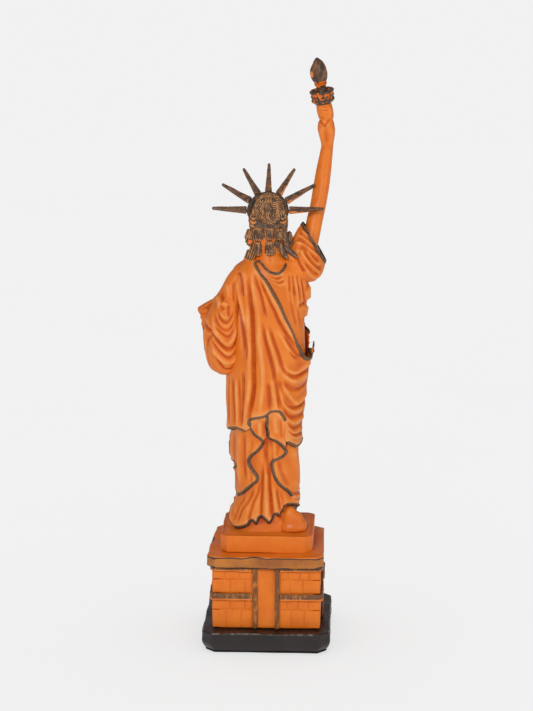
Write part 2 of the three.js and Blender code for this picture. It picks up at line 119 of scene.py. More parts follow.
# %% [markdown]
# ## Modelling helpers
# Blender's operators act on whatever is selected, and the frame arrives selected, so each step first
# clears the selection. A piece copied from a CAD node gets a mesh of its own, merged into one skin.

# %% Helpers for single pieces
def deselect():
    if bpy.context.object and bpy.context.object.mode == "EDIT":
        bpy.ops.object.mode_set(mode="OBJECT")
    for thing in bpy.context.selected_objects:
        thing.select_set(False)


def activate(thing):
    deselect()
    thing.hide_viewport = False
    bpy.context.view_layer.objects.active = thing
    thing.select_set(True)


def edit_all(thing):
    activate(thing)
    bpy.ops.object.mode_set(mode="EDIT")
    bpy.ops.mesh.select_all(action="SELECT")


def finish_edit(thing, smooth_degrees=40):
    """Leaves edit mode with faces outwards, and smooth shading except across sharp edges."""
    bpy.ops.mesh.normals_make_consistent(inside=False)
    bpy.ops.object.mode_set(mode="OBJECT")
    bpy.ops.object.shade_smooth_by_angle(angle=math.radians(smooth_degrees))
    return thing


def apply_modifier(thing, kind, **settings):
    activate(thing)
    modifier = thing.modifiers.new(kind.lower(), kind)
    for key, value in settings.items():
        setattr(modifier, key, value)
    bpy.ops.object.modifier_apply(modifier=modifier.name)


def coordinates(thing):
    flat = np.empty(len(thing.data.vertices) * 3)
    thing.data.vertices.foreach_get("co", flat)
    return flat.reshape(-1, 3) / MM


def set_coordinates(thing, points):
    thing.data.vertices.foreach_set("co", (points * MM).ravel())
    thing.data.update()


def copy_node(name, node):
    """A free copy of a CAD node, merged and with its flat faces made whole again."""
    piece = frame["nodes"][node].copy()
    piece.data = frame["nodes"][node].data.copy()
    piece.parent = None
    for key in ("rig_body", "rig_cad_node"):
        if key in piece:
            del piece[key]
    bpy.context.scene.collection.objects.link(piece)
    piece.name = name
    piece.data.materials.clear()
    edit_all(piece)
    bpy.ops.mesh.remove_doubles(threshold=1e-6)
    bpy.ops.mesh.dissolve_limited(angle_limit=math.radians(2))
    bpy.ops.object.mode_set(mode="OBJECT")
    return piece


def join(name, parts):
    activate(parts[0])
    for part in parts[1:]:
        part.select_set(True)
    bpy.ops.object.join()
    parts[0].name = name
    return parts[0]

# %% [markdown]
# Nothing cast and finished by hand is quite straight. A few long sine waves with seeded phases move
# points by a tenth of a millimetre or so. They make wavering edges without any lumps.

# %% Hand-made wobble
waves = np.random.default_rng(7)
WAVE_DIRECTIONS = waves.normal(size=(9, 3))
WAVE_DIRECTIONS /= np.linalg.norm(WAVE_DIRECTIONS, axis=1, keepdims=True)
WAVE_PHASES = waves.uniform(0, 2 * math.pi, size=(9, 3))


def wobble(points, wavelength, size):
    """Offsets in millimetres for points in millimetres."""
    turns = points @ (WAVE_DIRECTIONS.T * (2 * math.pi / wavelength))
    return size * np.sin(turns[:, :, None] * np.linspace(0.8, 1.9, 9)[:, None] + WAVE_PHASES).mean(1) * 2


def roughen(thing, wavelength, size):
    points = coordinates(thing)
    set_coordinates(thing, points + wobble(points, wavelength, size))

# %% [markdown]
# ## Paint
# The model is sprayed terracotta orange all over. A dark bronze is then brushed over hair, crown,
# torch, mouldings and every hem, and dragged off again with a nearly dry brush, so that ridges stay
# golden. What several paints share is a node group: mottling, the ragged edge of a brush stroke, a
# painted shade that darkens the hollows, a painted highlight with some dust that lightens the high
# places, and the fine grain of a sprayed coat.

# %% Node helpers
def put(tree, kind, values=None, **settings):
    """Adds a node: a value that is a socket is linked, and any other is set."""
    made = tree.nodes.new(kind)
    for key, value in settings.items():
        setattr(made, key, value)
    for key, value in (values or {}).items():
        if isinstance(value, bpy.types.NodeSocket):
            tree.links.new(value, made.inputs[key])
        else:
            made.inputs[key].default_value = value
    return made


def new_group(name, inputs, outputs):
    tree = bpy.data.node_groups.new(name, "ShaderNodeTree")
    kinds = {"c": "NodeSocketColor", "f": "NodeSocketFloat"}
    for socket_name, kind in inputs:
        tree.interface.new_socket(socket_name, in_out="INPUT", socket_type=kinds[kind])
    for socket_name, kind in outputs:
        tree.interface.new_socket(socket_name, in_out="OUTPUT", socket_type=kinds[kind])
    ins, outs = tree.nodes.new("NodeGroupInput"), tree.nodes.new("NodeGroupOutput")
    return tree, ins.outputs, outs.inputs


def use(tree, group, **values):
    named = {key.replace("_", " "): value for key, value in values.items()}
    return put(tree, "ShaderNodeGroup", named, node_tree=group).outputs[0]


def noise(tree, scale, detail=3.0, roughness=0.5, stretch=None):
    place = put(tree, "ShaderNodeTexCoord").outputs["Object"]
    if stretch:
        place = put(tree, "ShaderNodeMapping", {"Vector": place, "Scale": stretch}).outputs[0]
    values = {"Vector": place, "Scale": scale, "Detail": detail, "Roughness": roughness}
    return put(tree, "ShaderNodeTexNoise", values).outputs["Fac"]


def blend_colours(tree, share, first, second):
    made = put(tree, "ShaderNodeMix", {0: share}, data_type="RGBA")
    for key, value in ((6, first), (7, second)):
        if isinstance(value, bpy.types.NodeSocket):
            tree.links.new(value, made.inputs[key])
        else:
            made.inputs[key].default_value = value
    return made.outputs[2]


def ramp(tree, value, low, high, to_low=0.0, to_high=1.0):
    values = {0: value, 1: low, 2: high, 3: to_low, 4: to_high}
    return put(tree, "ShaderNodeMapRange", values, interpolation_type="SMOOTHSTEP").outputs[0]


def arithmetic(tree, operation, first, second):
    return put(tree, "ShaderNodeMath", {0: first, 1: second}, operation=operation).outputs[0]

# %% Shared paint effects
mottle, take, give = new_group(
    "mottle", [("Light", "c"), ("Dark", "c"), ("Scale", "f"), ("Contrast", "f")], [("Colour", "c")]
)
patches = noise(mottle, take["Scale"], 4.0, 0.55)
spread = arithmetic(mottle, "MULTIPLY", arithmetic(mottle, "SUBTRACT", patches, 0.5), take["Contrast"])
share = put(mottle, "ShaderNodeClamp", {0: arithmetic(mottle, "ADD", spread, 0.5)}).outputs[0]
mottle.links.new(blend_colours(mottle, share, take["Dark"], take["Light"]), give["Colour"])

ragged, take, give = new_group("ragged_edge", [("Mask", "f"), ("Scale", "f"), ("Reach", "f")],
                               [("Mask", "f")])
nibble = arithmetic(ragged, "SUBTRACT", noise(ragged, take["Scale"], 5.0, 0.65), 0.5)
moved = arithmetic(ragged, "ADD", take["Mask"], arithmetic(ragged, "MULTIPLY", nibble, take["Reach"]))
ragged.links.new(ramp(ragged, moved, 0.44, 0.56), give["Mask"])

# Painted shade: the hollows of the relief are darkened towards a deep orange, in patches.
painted_shade, take, give = new_group("hollow_painted_shade", [("Colour", "c"), ("Wash", "c"), ("Amount", "f")],
                             [("Colour", "c")])
hollow = put(painted_shade, "ShaderNodeAttribute", attribute_name="hollow").outputs["Fac"]
patchy = arithmetic(painted_shade, "MULTIPLY", hollow, ramp(painted_shade, noise(painted_shade, 160.0), 0.25, 0.6, 0.6, 1.0))
amount = arithmetic(painted_shade, "MULTIPLY", patchy, take["Amount"])
painted_shade.links.new(blend_colours(painted_shade, amount, take["Colour"], take["Wash"]), give["Colour"])

# Painted highlight with some dust: the high places of the relief are lightened towards a pale orange, broken
# up by noise.
crest_highlight, take, give = new_group("crest_dust_and_highlight", [("Colour", "c"), ("Dust", "c"), ("Amount", "f")],
                              [("Colour", "c")])
proud = put(crest_highlight, "ShaderNodeAttribute", attribute_name="proud").outputs["Fac"]
rubbed_highlight = ramp(crest_highlight, noise(crest_highlight, 240.0, 5.0, 0.6, stretch=(1.0, 1.0, 0.3)), 0.35, 0.62, 0.45, 1.0)
amount = arithmetic(crest_highlight, "MULTIPLY", arithmetic(crest_highlight, "MULTIPLY", proud, rubbed_highlight), take["Amount"])
crest_highlight.links.new(blend_colours(crest_highlight, amount, take["Colour"], take["Dust"]), give["Colour"])

grain, take, give = new_group("sprayed_grain", [("Scale", "f"), ("Pits", "f")], [("Height", "f")])
fine = noise(grain, take["Scale"], 2.0, 0.6)
pits = ramp(grain, noise(grain, 700.0, 1.0), 0.24, 0.3, -1.0, 0.0)
pitted = arithmetic(grain, "ADD", fine, arithmetic(grain, "MULTIPLY", pits, take["Pits"]))
grain.links.new(pitted, give["Height"])

dry_brush, take, give = new_group(
    "dry_brush", [("Base", "c"), ("Brushed", "c"), ("Scale", "f"), ("Amount", "f")], [("Colour", "c")]
)
streaks = noise(dry_brush, take["Scale"], 6.0, 0.7, stretch=(1.0, 1.0, 0.35))
proud = put(dry_brush, "ShaderNodeAttribute", attribute_name="proud").outputs["Fac"]
lifted = arithmetic(dry_brush, "ADD", streaks, arithmetic(dry_brush, "MULTIPLY", proud, 0.22))
share = arithmetic(dry_brush, "MULTIPLY", ramp(dry_brush, lifted, 0.48, 0.68), take["Amount"])
dry_brush.links.new(blend_colours(dry_brush, share, take["Base"], take["Brushed"]), give["Colour"])

# %% [markdown]
# The two main paints are functions, because a hem needs both on one piece: the `trim` attribute, made
# with the mesh, says where the bronze lies, and `ragged_edge` gives its border the look of a brush.

# %% Materials
def rgb(red, green, blue):
    """A colour given as 0-255 screen values, as the linear value that Blender works in."""
    linear = [((c / 255 + 0.055) / 1.055) ** 2.4 if c > 10 else c / 3300 for c in (red, green, blue)]
    return (*linear, 1.0)


ORANGE_LIGHT, ORANGE_DARK = rgb(224, 120, 30), rgb(212, 105, 22)
ORANGE_SHADE, ORANGE_DUST_HIGHLIGHT = rgb(180, 68, 2), rgb(234, 158, 88)
BRONZE_DARK, BRONZE_GOLD = rgb(64, 50, 40), rgb(146, 104, 70)


def orange_paint(tree):
    skin = use(tree, mottle, Light=ORANGE_LIGHT, Dark=ORANGE_DARK, Scale=90.0, Contrast=2.4)
    # Painted highlight with some dust on the high places, then painted shade in the hollows.
    dust_and_highlight = use(tree, crest_highlight, Colour=skin, Dust=ORANGE_DUST_HIGHLIGHT, Amount=0.7)
    return use(tree, painted_shade, Colour=dust_and_highlight, Wash=ORANGE_SHADE, Amount=0.95)


def bronze_paint(tree, base=BRONZE_DARK, brushed=BRONZE_GOLD, amount=0.5):
    return use(tree, dry_brush, Base=base, Brushed=brushed, Scale=620.0, Amount=amount)


def new_material(name, colour, roughness, bump, pits=0.6, grain_scale=2600.0, coat=0.0, metallic=0.0):
    """colour and roughness are functions of the node tree; bump is a height in millimetres."""
    material = bpy.data.materials.new(name)
    material.use_nodes = True
    tree = material.node_tree
    shader = tree.nodes["Principled BSDF"]
    tree.links.new(colour(tree), shader.inputs["Base Color"])
    tree.links.new(roughness(tree), shader.inputs["Roughness"])
    height = use(tree, grain, Scale=grain_scale, Pits=pits)
    values = {"Height": height, "Distance": bump * MM, "Strength": 1.0}
    tree.links.new(put(tree, "ShaderNodeBump", values).outputs[0], shader.inputs["Normal"])
    shader.inputs["Metallic"].default_value = metallic
    shader.inputs["Specular IOR Level"].default_value = 0.32
    shader.inputs["Coat Weight"].default_value = coat
    shader.inputs["Coat Roughness"].default_value = 0.25
    return material


def patchy_sheen(low, high, scale=120.0):
    return lambda tree: ramp(tree, noise(tree, scale, 3.0), 0.3, 0.7, low, high)


def trimmed_colour(tree):
    trim = put(tree, "ShaderNodeAttribute", attribute_name="trim").outputs["Fac"]
    painted = use(tree, ragged, Mask=trim, Scale=420.0, Reach=0.55)
    return blend_colours(tree, painted, orange_paint(tree), bronze_paint(tree))


def worn_bronze_colour(tree):
    bare = put(tree, "ShaderNodeAttribute", attribute_name="bare").outputs["Fac"]
    shows = use(tree, ragged, Mask=bare, Scale=300.0, Reach=0.7)
    brushed = bronze_paint(tree, rgb(84, 62, 46), rgb(192, 134, 84), 0.95)
    return blend_colours(tree, shows, brushed, orange_paint(tree))


def streaked_bronze_colour(tree):
    bare = put(tree, "ShaderNodeAttribute", attribute_name="bare").outputs["Fac"]
    shows = use(tree, ragged, Mask=bare, Scale=240.0, Reach=0.6)
    brushed = use(tree, dry_brush, Base=rgb(64, 50, 40), Brushed=rgb(140, 92, 54), Scale=330.0, Amount=0.6)
    return blend_colours(tree, shows, brushed, orange_paint(tree))


robe_paint = new_material("robe_paint", trimmed_colour, patchy_sheen(0.40, 0.52), 0.02)
skin_paint = new_material("skin_paint", trimmed_colour, patchy_sheen(0.36, 0.48), 0.015)
hair_paint = new_material("hair_paint", worn_bronze_colour, patchy_sheen(0.38, 0.55), 0.03)
crown_paint = new_material("crown_paint", streaked_bronze_colour, patchy_sheen(0.38, 0.55), 0.03)
block_paint = new_material("block_paint", trimmed_colour, patchy_sheen(0.42, 0.55), 0.025, pits=1.2)


def umber_colour(tree):
    under = use(tree, mottle, Light=rgb(190, 116, 46), Dark=rgb(146, 84, 38), Scale=70.0, Contrast=3.2)
    edge = put(tree, "ShaderNodeAttribute", attribute_name="trim").outputs["Fac"]
    lined = blend_colours(tree, use(tree, ragged, Mask=edge, Scale=350.0, Reach=0.6), under, BRONZE_DARK)
    top = put(tree, "ShaderNodeAttribute", attribute_name="bare").outputs["Fac"]
    return blend_colours(tree, use(tree, ragged, Mask=top, Scale=260.0, Reach=0.3), lined, orange_paint(tree))


def plinth_colour(tree):
    lacquer = use(tree, mottle, Light=rgb(44, 37, 35), Dark=rgb(34, 29, 28), Scale=60.0, Contrast=2.0)
    stain = put(tree, "ShaderNodeAttribute", attribute_name="trim").outputs["Fac"]
    share = use(tree, ragged, Mask=stain, Scale=150.0, Reach=0.5)
    stained = blend_colours(tree, arithmetic(tree, "MULTIPLY", share, 0.45), lacquer, rgb(66, 38, 24))
    scuff = arithmetic(tree, "MULTIPLY", ramp(tree, noise(tree, 900.0, 6.0, 0.75), 0.68, 0.76), 0.25)
    scuffed = blend_colours(tree, scuff, stained, rgb(96, 84, 78))
    # Painted highlight along the top edge of the plinth, broken up by noise like wear.
    edge = put(tree, "ShaderNodeAttribute", attribute_name="proud").outputs["Fac"]
    rubbed_highlight = arithmetic(tree, "MULTIPLY", edge, ramp(tree, noise(tree, 150.0, 5.0), 0.4, 0.65, 0.0, 0.75))
    return blend_colours(tree, rubbed_highlight, scuffed, rgb(142, 130, 122))


def rail_colour(tree):
    streaked = use(tree, dry_brush, Base=rgb(112, 72, 42), Brushed=rgb(196, 126, 56), Scale=380.0,
                   Amount=0.85)
    bare = put(tree, "ShaderNodeAttribute", attribute_name="bare").outputs["Fac"]
    shows = use(tree, ragged, Mask=bare, Scale=320.0, Reach=0.6)
    return blend_colours(tree, shows, streaked, orange_paint(tree))


def felt_colour(tree):
    return use(tree, mottle, Light=rgb(30, 34, 31), Dark=rgb(18, 22, 20), Scale=900.0, Contrast=3.0)


def steel_colour(tree):
    return use(tree, mottle, Light=rgb(168, 170, 174), Dark=rgb(128, 130, 134), Scale=500.0, Contrast=2.0)


cornice_paint = new_material("cornice_paint", umber_colour, patchy_sheen(0.34, 0.5), 0.02)
plinth_lacquer = new_material("plinth_lacquer", plinth_colour, patchy_sheen(0.26, 0.4), 0.012, pits=0.4)
rail_paint = new_material("rail_paint", rail_colour, patchy_sheen(0.36, 0.5), 0.03)
felt = new_material("felt", felt_colour, patchy_sheen(0.9, 1.0), 0.12, grain_scale=3800.0)
steel = new_material("steel", steel_colour, patchy_sheen(0.28, 0.45, 800.0), 0.004, pits=0.0, metallic=1.0)
print("Materials:", len([m for m in bpy.data.materials if m.node_tree and len(m.node_tree.nodes) > 4]))

# %% Handing a piece over to the frame
def hand_over(piece, material, slot, *nodes):
    piece.data.materials.clear()
    piece.data.materials.append(material)
    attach(piece, "root")
    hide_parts(*nodes)
    print(f"{piece.name}: {len(piece.data.polygons)} faces for {', '.join(nodes)}")


def paint_attribute(piece, name, values):
    attribute = piece.data.attributes.get(name) or piece.data.attributes.new(name, "FLOAT", "POINT")
    attribute.data.foreach_set("value", np.clip(values, 0, 1).astype(np.float32))

# %% [markdown]
# ## Cast blocks
# Plinth, pedestal, cornice and step are plain blocks with cut corners in the CAD. The cast ones come
# out of a rubber mould: their edges are blunt, and no side is quite flat. So each block is copied,
# bevelled, remeshed finely enough to bend, relaxed, and then pushed about by the long waves.

# %% Cast block helper
def cast_block(name, node, bevel, voxel, wavelength, size, relax=4):
    piece = copy_node(name, node)
    apply_modifier(piece, "BEVEL", width=bevel * MM, segments=3, limit_method="ANGLE", angle_limit=0.5)
    apply_modifier(piece, "REMESH", mode="VOXEL", voxel_size=voxel * MM)
    apply_modifier(piece, "SMOOTH", factor=0.6, iterations=relax)
    roughen(piece, wavelength, size)
    activate(piece)
    bpy.ops.object.shade_smooth()
    return piece


def box_of(node):
    low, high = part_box(node)
    return np.array(low) / MM, np.array(high) / MM


def soft_step(values, start, end):
    t = np.clip((values - start) / (end - start), 0, 1)
    return t * t * (3 - 2 * t)

def spin(points, first, second, angle):
    """Points turned by an angle, from one axis towards another."""
    spun = points.copy()
    spun[:, first] = points[:, first] * math.cos(angle) - points[:, second] * math.sin(angle)
    spun[:, second] = points[:, first] * math.sin(angle) + points[:, second] * math.cos(angle)
    return spun

# %% Felt and plinth
base = cast_block("plinth_body", "base_plinth", 0.7, 0.6, 46.0, 0.45, 2)
points = coordinates(base)
pedestal_low, pedestal_high = box_of("pedestal_block")
outside = np.abs(points[:, :2]).max(1) - pedestal_high[0]
paint_attribute(base, "trim", soft_step(7.5 - outside, 0, 6) * (points[:, 2] > pedestal_low[2] - 1.2))
low, high = box_of("base_plinth")
points[:, :2] *= (1 + 0.034 * np.exp(-(((points[:, 2] - 5.5) / 4.0) ** 2)))[:, None]
set_coordinates(base, points)
# A painted highlight line along the top edge of the plinth, stored as proud for the plinth paint.
edge = np.abs(points[:, 2] - high[2] + 0.35 + wobble(points, 15.0, 0.15)[:, 0])
around = np.minimum(high[0] - np.abs(points[:, 0]), high[1] - np.abs(points[:, 1])) < 1.1
paint_attribute(base, "proud", (1 - soft_step(edge, 0.25, 0.75)) * around)
hand_over(base, plinth_lacquer, "black_plinth", "base_plinth")
felt_pad = cast_block("felt_pad", "base_felt", 0.3, 0.5, 30.0, 0.08)
hand_over(felt_pad, felt, "dark_felt", "base_felt")

# %% [markdown]
# ## Brick pedestal
# The stonework is a shallow relief: thin joints, rounded corners, and courses that don't line up
# between the panels. One face is laid brick by brick in bevelled plates, and turned onto the others.

# %% Brick faces
JOINT, PROUD = 0.5, 0.42
face_y = pedestal_high[1]
BRICK_END = face_y - 0.25
COURSES = {
    (46.9, 52.4): [(-BRICK_END, -27.3), (-27.3, -21.5), (-21.5, -13.7), (-13.7, -8.6),
                   (8.6, 17.1), (17.1, 26.5), (26.5, BRICK_END)],
    (37.6, 46.9): [(-BRICK_END, -23.4), (-23.4, -15.1), (-15.1, -8.6), (8.6, 13.6), (13.6, 22.7),
                   (22.7, BRICK_END)],
    (26.6, 33.4): [(-BRICK_END, -27.0), (-27.0, -20.2), (-20.2, -13.1), (-13.1, -8.6),
                   (8.6, 13.5), (13.5, 23.1), (23.1, BRICK_END)],
    (14.4, 26.6): [(-BRICK_END, -24.4), (-24.4, -16.0), (-16.0, -8.6), (8.6, 15.9), (15.9, 25.8),
                   (25.8, BRICK_END)],
}


def brick(x_low, x_high, z_low, z_high):
    middle = ((x_low + x_high) / 2, face_y - 0.9, (z_low + z_high) / 2)
    deselect()
    bpy.ops.mesh.primitive_cube_add(size=1, location=[c * MM for c in middle])
    plate = bpy.context.object
    size = (x_high - x_low - JOINT, 1.8, z_high - z_low - JOINT)
    bpy.ops.transform.resize(value=[s * MM for s in size])
    bpy.ops.object.transform_apply(location=True, rotation=True, scale=True)
    apply_modifier(plate, "BEVEL", width=0.5 * MM, segments=3)
    return plate


bricks = [brick(a, b, low, high) for (low, high), row in COURSES.items() for a, b in row]
brick_face = join("brick_face", bricks)
roughen(brick_face, 9.0, 0.16)
faces = [brick_face]
for turn in range(1, 4):
    other = brick_face.copy()
    other.data = brick_face.data.copy()
    bpy.context.scene.collection.objects.link(other)
    set_coordinates(other, spin(coordinates(other), 0, 1, turn * math.pi / 2))
    faces.append(other)
core = cast_block("pedestal_core", "pedestal_block", 1.6, 0.7, 40.0, 0.12)
points = coordinates(core)
sunk = PROUD / face_y * soft_step(32.7 - np.abs(points[:, :2]).min(1), 0, 0.5)
points[:, :2] *= 1 - sunk[:, None]
set_coordinates(core, points)
pedestal = join("pedestal_body", [core, *faces])
bpy.ops.object.shade_smooth_by_angle(angle=math.radians(50))
points = coordinates(pedestal)
lip = -0.15 + wobble(points, 9.0, 0.5)[:, 0]
paint_attribute(pedestal, "trim", soft_step(pedestal_low[2] + lip - points[:, 2], -0.5, 0.5))
hand_over(pedestal, block_paint, "orange_resin", "pedestal_block")

# %% [markdown]
# ## Mouldings
# The strips are soft half-rolls painted brown, with the paint missing along the lower lip of the belt.

# %% Pilasters and rails
SIDES = ("back", "left", "front", "right")
CORNERS = ("back_left", "front_left", "front_right", "back_right")
for side in SIDES:
    for letter in "ab":
        node = f"pilaster_{side}_{letter}"
        strip = cast_block(f"{node}_strip", node, 0.9, 0.3, 14.0, 0.22)
        hand_over(strip, rail_paint, "bronze_accent", node)
for corner in CORNERS:
    for kind, groove_at in (("belt_rail", 0.36), ("top_rail", 0.5)):
        node = f"{kind}_{corner}"
        rail = cast_block(f"{node}_strip", node, 0.7, 0.32, 12.0, 0.25)
        low, high = box_of(node)
        points = coordinates(rail)
        share = (points[:, 2] - low[2]) / (high[2] - low[2])
        outward = points[:, :2] / np.linalg.norm(points[:, :2], axis=1, keepdims=True)
        depth = 0.45 * np.exp(-(((share - groove_at) * (high[2] - low[2]) / 0.5) ** 2))
        points[:, :2] -= outward * depth[:, None]
        set_coordinates(rail, points)
        paint_attribute(rail, "bare", 1 - soft_step(share, groove_at - 0.2, groove_at))
        hand_over(rail, rail_paint, "bronze_accent", node)

# %% Cornice and step
cornice = cast_block("cornice_body", "cornice_slab", 0.5, 0.5, 42.0, 0.75, 2)
low, high = box_of("cornice_slab")
points = coordinates(cornice)
down = high[2] + wobble(points, 13.0, 0.5)[:, 0] - points[:, 2]
corner_sum = np.abs(points[:, :2]).sum(1)
inside = np.minimum(high[0] - np.abs(points[:, :2]).max(1), 0.7 * (corner_sum.max() - corner_sum)) + 0.3
on_top = soft_step(inside, 1.2, 1.8) * (points[:, 2] > low[2] + 3)
paint_attribute(cornice, "bare", np.maximum(soft_step(0.55 - down, -0.25, 0.25), on_top))
lines = np.exp(-(((down - 0.9) / 0.45) ** 2)) + np.exp(-(((down - 7.5) / 0.5) ** 2))
turned_corner = soft_step(corner_sum, corner_sum.max() - 3.0, corner_sum.max() - 1.0)
paint_attribute(cornice, "trim", (lines + 0.4 * turned_corner) * (1 - on_top))
to_back = points[:, 1] / high[1]
spread = np.where(points[:, 0] > 0, 1.5 * to_back, 1.0 - 0.4 * to_back)
points[:, 0] += spread * np.abs(points[:, 0]) / high[0]
set_coordinates(cornice, points)
hand_over(cornice, cornice_paint, "umber_cornice", "cornice_slab")
step = cast_block("step_body", "top_step", 0.4, 0.5, 38.0, 0.35, 2)
low, high = box_of("top_step")
points = coordinates(step)
rim = np.minimum(high[0] - np.abs(points[:, 0]), high[1] - np.abs(points[:, 1]))
on_top = points[:, 2] > high[2] - 0.6
# Painted shade: a darker band on top of the step, just inside its rim.
paint_attribute(step, "hollow", 0.55 * np.exp(-(((rim - 1.4) / 1.0) ** 2)) * on_top)
hand_over(step, block_paint, "orange_resin", "top_step")

# %% [markdown]
# ## Cloth as a relief
# The robes are carved, not sewn: each is a skin over the body with ridges, grooves and laps in it.
# So a robe is a fine grid wound round the body, and the carving is planned flat. `u` is the distance
# round the body from the middle of the back, and `z` the height. Every fold is a short list of
# points in millimetres, drawn as a smooth curve, with a height and a width.

# %% Smooth curves and skins
def smooth_line(points, steps=6):
    """A Catmull-Rom curve through a few points."""
    points = np.array(points, float)
    ends = np.vstack([2 * points[0] - points[1], points, 2 * points[-1] - points[-2]])
    t = np.linspace(0, 1, steps, endpoint=False)[:, None]
    spans = [
        0.5 * (2 * b + (c - a) * t + (2 * a - 5 * b + 4 * c - d) * t**2 + (3 * b - a - 3 * c + d) * t**3)
        for a, b, c, d in zip(ends, ends[1:], ends[2:], ends[3:])
    ]
    return np.vstack([*spans, points[-1:]])


ANGLES = np.linspace(math.pi / 2, -math.pi / 2, 241)
ASPECTS = np.linspace(0.3, 2.3, 41)


def power(values, squareness):
    return np.sign(values) * np.abs(values) ** (2 / squareness)


class Skin:
    """Superellipse sections stacked along Z, from rows of (z, centre x, centre y, half x, half y)."""

    def __init__(self, rows, squareness=2.0):
        self.rows, self.squareness = smooth_line(rows, 10), squareness
        x, y = power(np.cos(ANGLES), squareness), power(np.sin(ANGLES), squareness)
        runs = [np.append(0, np.cumsum(np.hypot(np.diff(x), a * np.diff(y)))) for a in ASPECTS]
        self.lengths = np.array([run[-1] for run in runs])
        shares = np.linspace(0, 1, 129)
        self.angles = np.array([np.interp(shares, run / run[-1], ANGLES) for run in runs])

    def row(self, z):
        return [np.interp(z, self.rows[:, 0], self.rows[:, k]) for k in range(1, 5)]

    def half(self, z):
        """Half the way round at height z."""
        _, _, a, b = self.row(z)
        return a * np.interp(b / a, ASPECTS, self.lengths)

    def point(self, u, z):
        cx, cy, a, b = self.row(z)
        k = np.clip((b / a - ASPECTS[0]) / (ASPECTS[1] - ASPECTS[0]), 0, len(ASPECTS) - 1.001)
        s = np.clip(np.abs(u) / self.half(z), 0, 1) * 127.999
        i, j = k.astype(int), s.astype(int)
        p, q = k - i, s - j
        upper = self.angles[i, j] * (1 - q) + self.angles[i, j + 1] * q
        lower = self.angles[i + 1, j] * (1 - q) + self.angles[i + 1, j + 1] * q
        angle = upper * (1 - p) + lower * p
        across = np.sign(u) * a * power(np.cos(angle), self.squareness)
        return np.stack([cx + across, cy + b * power(np.sin(angle), self.squareness), z], axis=-1)

    def flat(self, points, front=False):
        """Points given as (x, z), seen from behind or from the front, laid out as (u, z)."""
        laid = []
        for x, z in points:
            cx, _, a, b = self.row(z)
            angle = math.acos(min(1.0, abs(x - cx) / a) ** (self.squareness / 2)) * (-1 if front else 1)
            nearest = self.angles[int(round((b / a - ASPECTS[0]) / (ASPECTS[1] - ASPECTS[0])))]
            share = np.interp(-angle, -nearest, np.linspace(0, 1, 129))
            laid.append((math.copysign(share * float(self.half(z)), x - cx), z))
        return laid


def distance_to(line, u, z):
    """Signed distance from each point to a line, and how far along it, as a share."""
    start, step = line[:-1], np.diff(line, axis=0)
    along = (u[:, None] - start[:, 0]) * step[:, 0] + (z[:, None] - start[:, 1]) * step[:, 1]
    along = np.clip(along / np.maximum((step**2).sum(1), 1e-9), 0, 1)
    du = u[:, None] - start[:, 0] - along * step[:, 0]
    dz = z[:, None] - start[:, 1] - along * step[:, 1]
    square = du**2 + dz**2
    k = square.argmin(1)
    n = np.arange(len(u))
    side = np.sign(step[k, 0] * dz[n, k] - step[k, 1] * du[n, k])
    lengths = np.hypot(*step.T)
    reached = np.append(0, np.cumsum(lengths))[k] + along[n, k] * lengths[k]
    return np.sqrt(square[n, k]) * side, reached / lengths.sum()

# %% [markdown]
# `Relief` holds one skin being carved. `fold` raises a ridge, or with a negative height cuts a groove,
# and `lean` makes one flank steeper. `hem` lays a rolled, painted border, and `lap` lifts a whole area
# like a layer of cloth on top. The hollows and high places are measured afterwards, for painted shade
# in the hollows and a painted highlight on the high places.

# %% The relief
CARVING = 1.25


class Relief:
    def __init__(self, skin, u, z):
        self.skin, self.u, self.z = skin, u.ravel(), z.ravel()
        self.round = 2 * skin.half(self.z)
        self.shape = u.shape
        self.height, self.trim = np.zeros(self.u.size), np.zeros(self.u.size)
        self.bare, self.gap = np.zeros(self.u.size), None

    def near(self, line, reach):
        low, high = line.min(0) - reach, line.max(0) + reach
        for turn in (-1, 0, 1):
            u = self.u + turn * self.round
            close = (u > low[0]) & (u < high[0]) & (self.z > low[1]) & (self.z < high[1])
            where = np.nonzero(close)[0]
            if len(where):
                yield where, *distance_to(line, u[where], self.z[where])

    def fold(self, points, height, width, lean=0.0, fade=0.18):
        for where, side, along in self.near(smooth_line(points), 3 * width):
            flank = width * np.where(side > 0, 1 + lean, 1 - lean)
            taper = np.clip(np.minimum(along, 1 - along) / fade, 0, 1) if fade else 1.0
            self.height[where] += CARVING * height * taper * np.exp(-((side / flank) ** 2))

    def hem(self, points, height=0.5, width=1.05, inset=0.0):
        for where, side, _ in self.near(smooth_line(points), 2.5 * width + inset):
            off = np.abs(np.abs(side) - inset) / width
            self.height[where] += height * np.sqrt(np.clip(1 - off**2, 0, 1))
            self.trim[where] = np.maximum(self.trim[where], 1.35 - off * 0.85)

    def share_inside(self, outline, soft):
        inside = np.zeros(self.u.size, bool)
        for (u0, z0), (u1, z1) in zip(outline, outline[1:] + outline[:1]):
            crosses = (z0 > self.z) != (z1 > self.z)
            at = u0 + (self.z - z0) * (u1 - u0) / (z1 - z0 if z1 != z0 else 1e-9)
            inside ^= crosses & (self.u < at)
        share = inside.astype(float)
        for where, side, _ in self.near(np.array([*outline, outline[0]], float), soft):
            sign = np.where(inside[where], 1, -1)
            share[where] = soft_step(np.abs(side) * sign, -soft / 2, soft / 2)
        return share

    def lap(self, outline, height, soft=1.0):
        self.height += height * self.share_inside(outline, soft)

    def tones(self, spread=9):
        """How hollow and how proud each point is, against its neighbourhood."""
        wide = self.height.reshape(self.shape)
        for _ in range(spread):
            wide = (wide + np.roll(wide, 2, 1) + np.roll(wide, -2, 1)) / 3
            tall = np.pad(wide, ((2, 2), (0, 0)), mode="edge")
            wide = (wide + tall[:-4] + tall[4:]) / 3
        return self.height - wide.ravel()


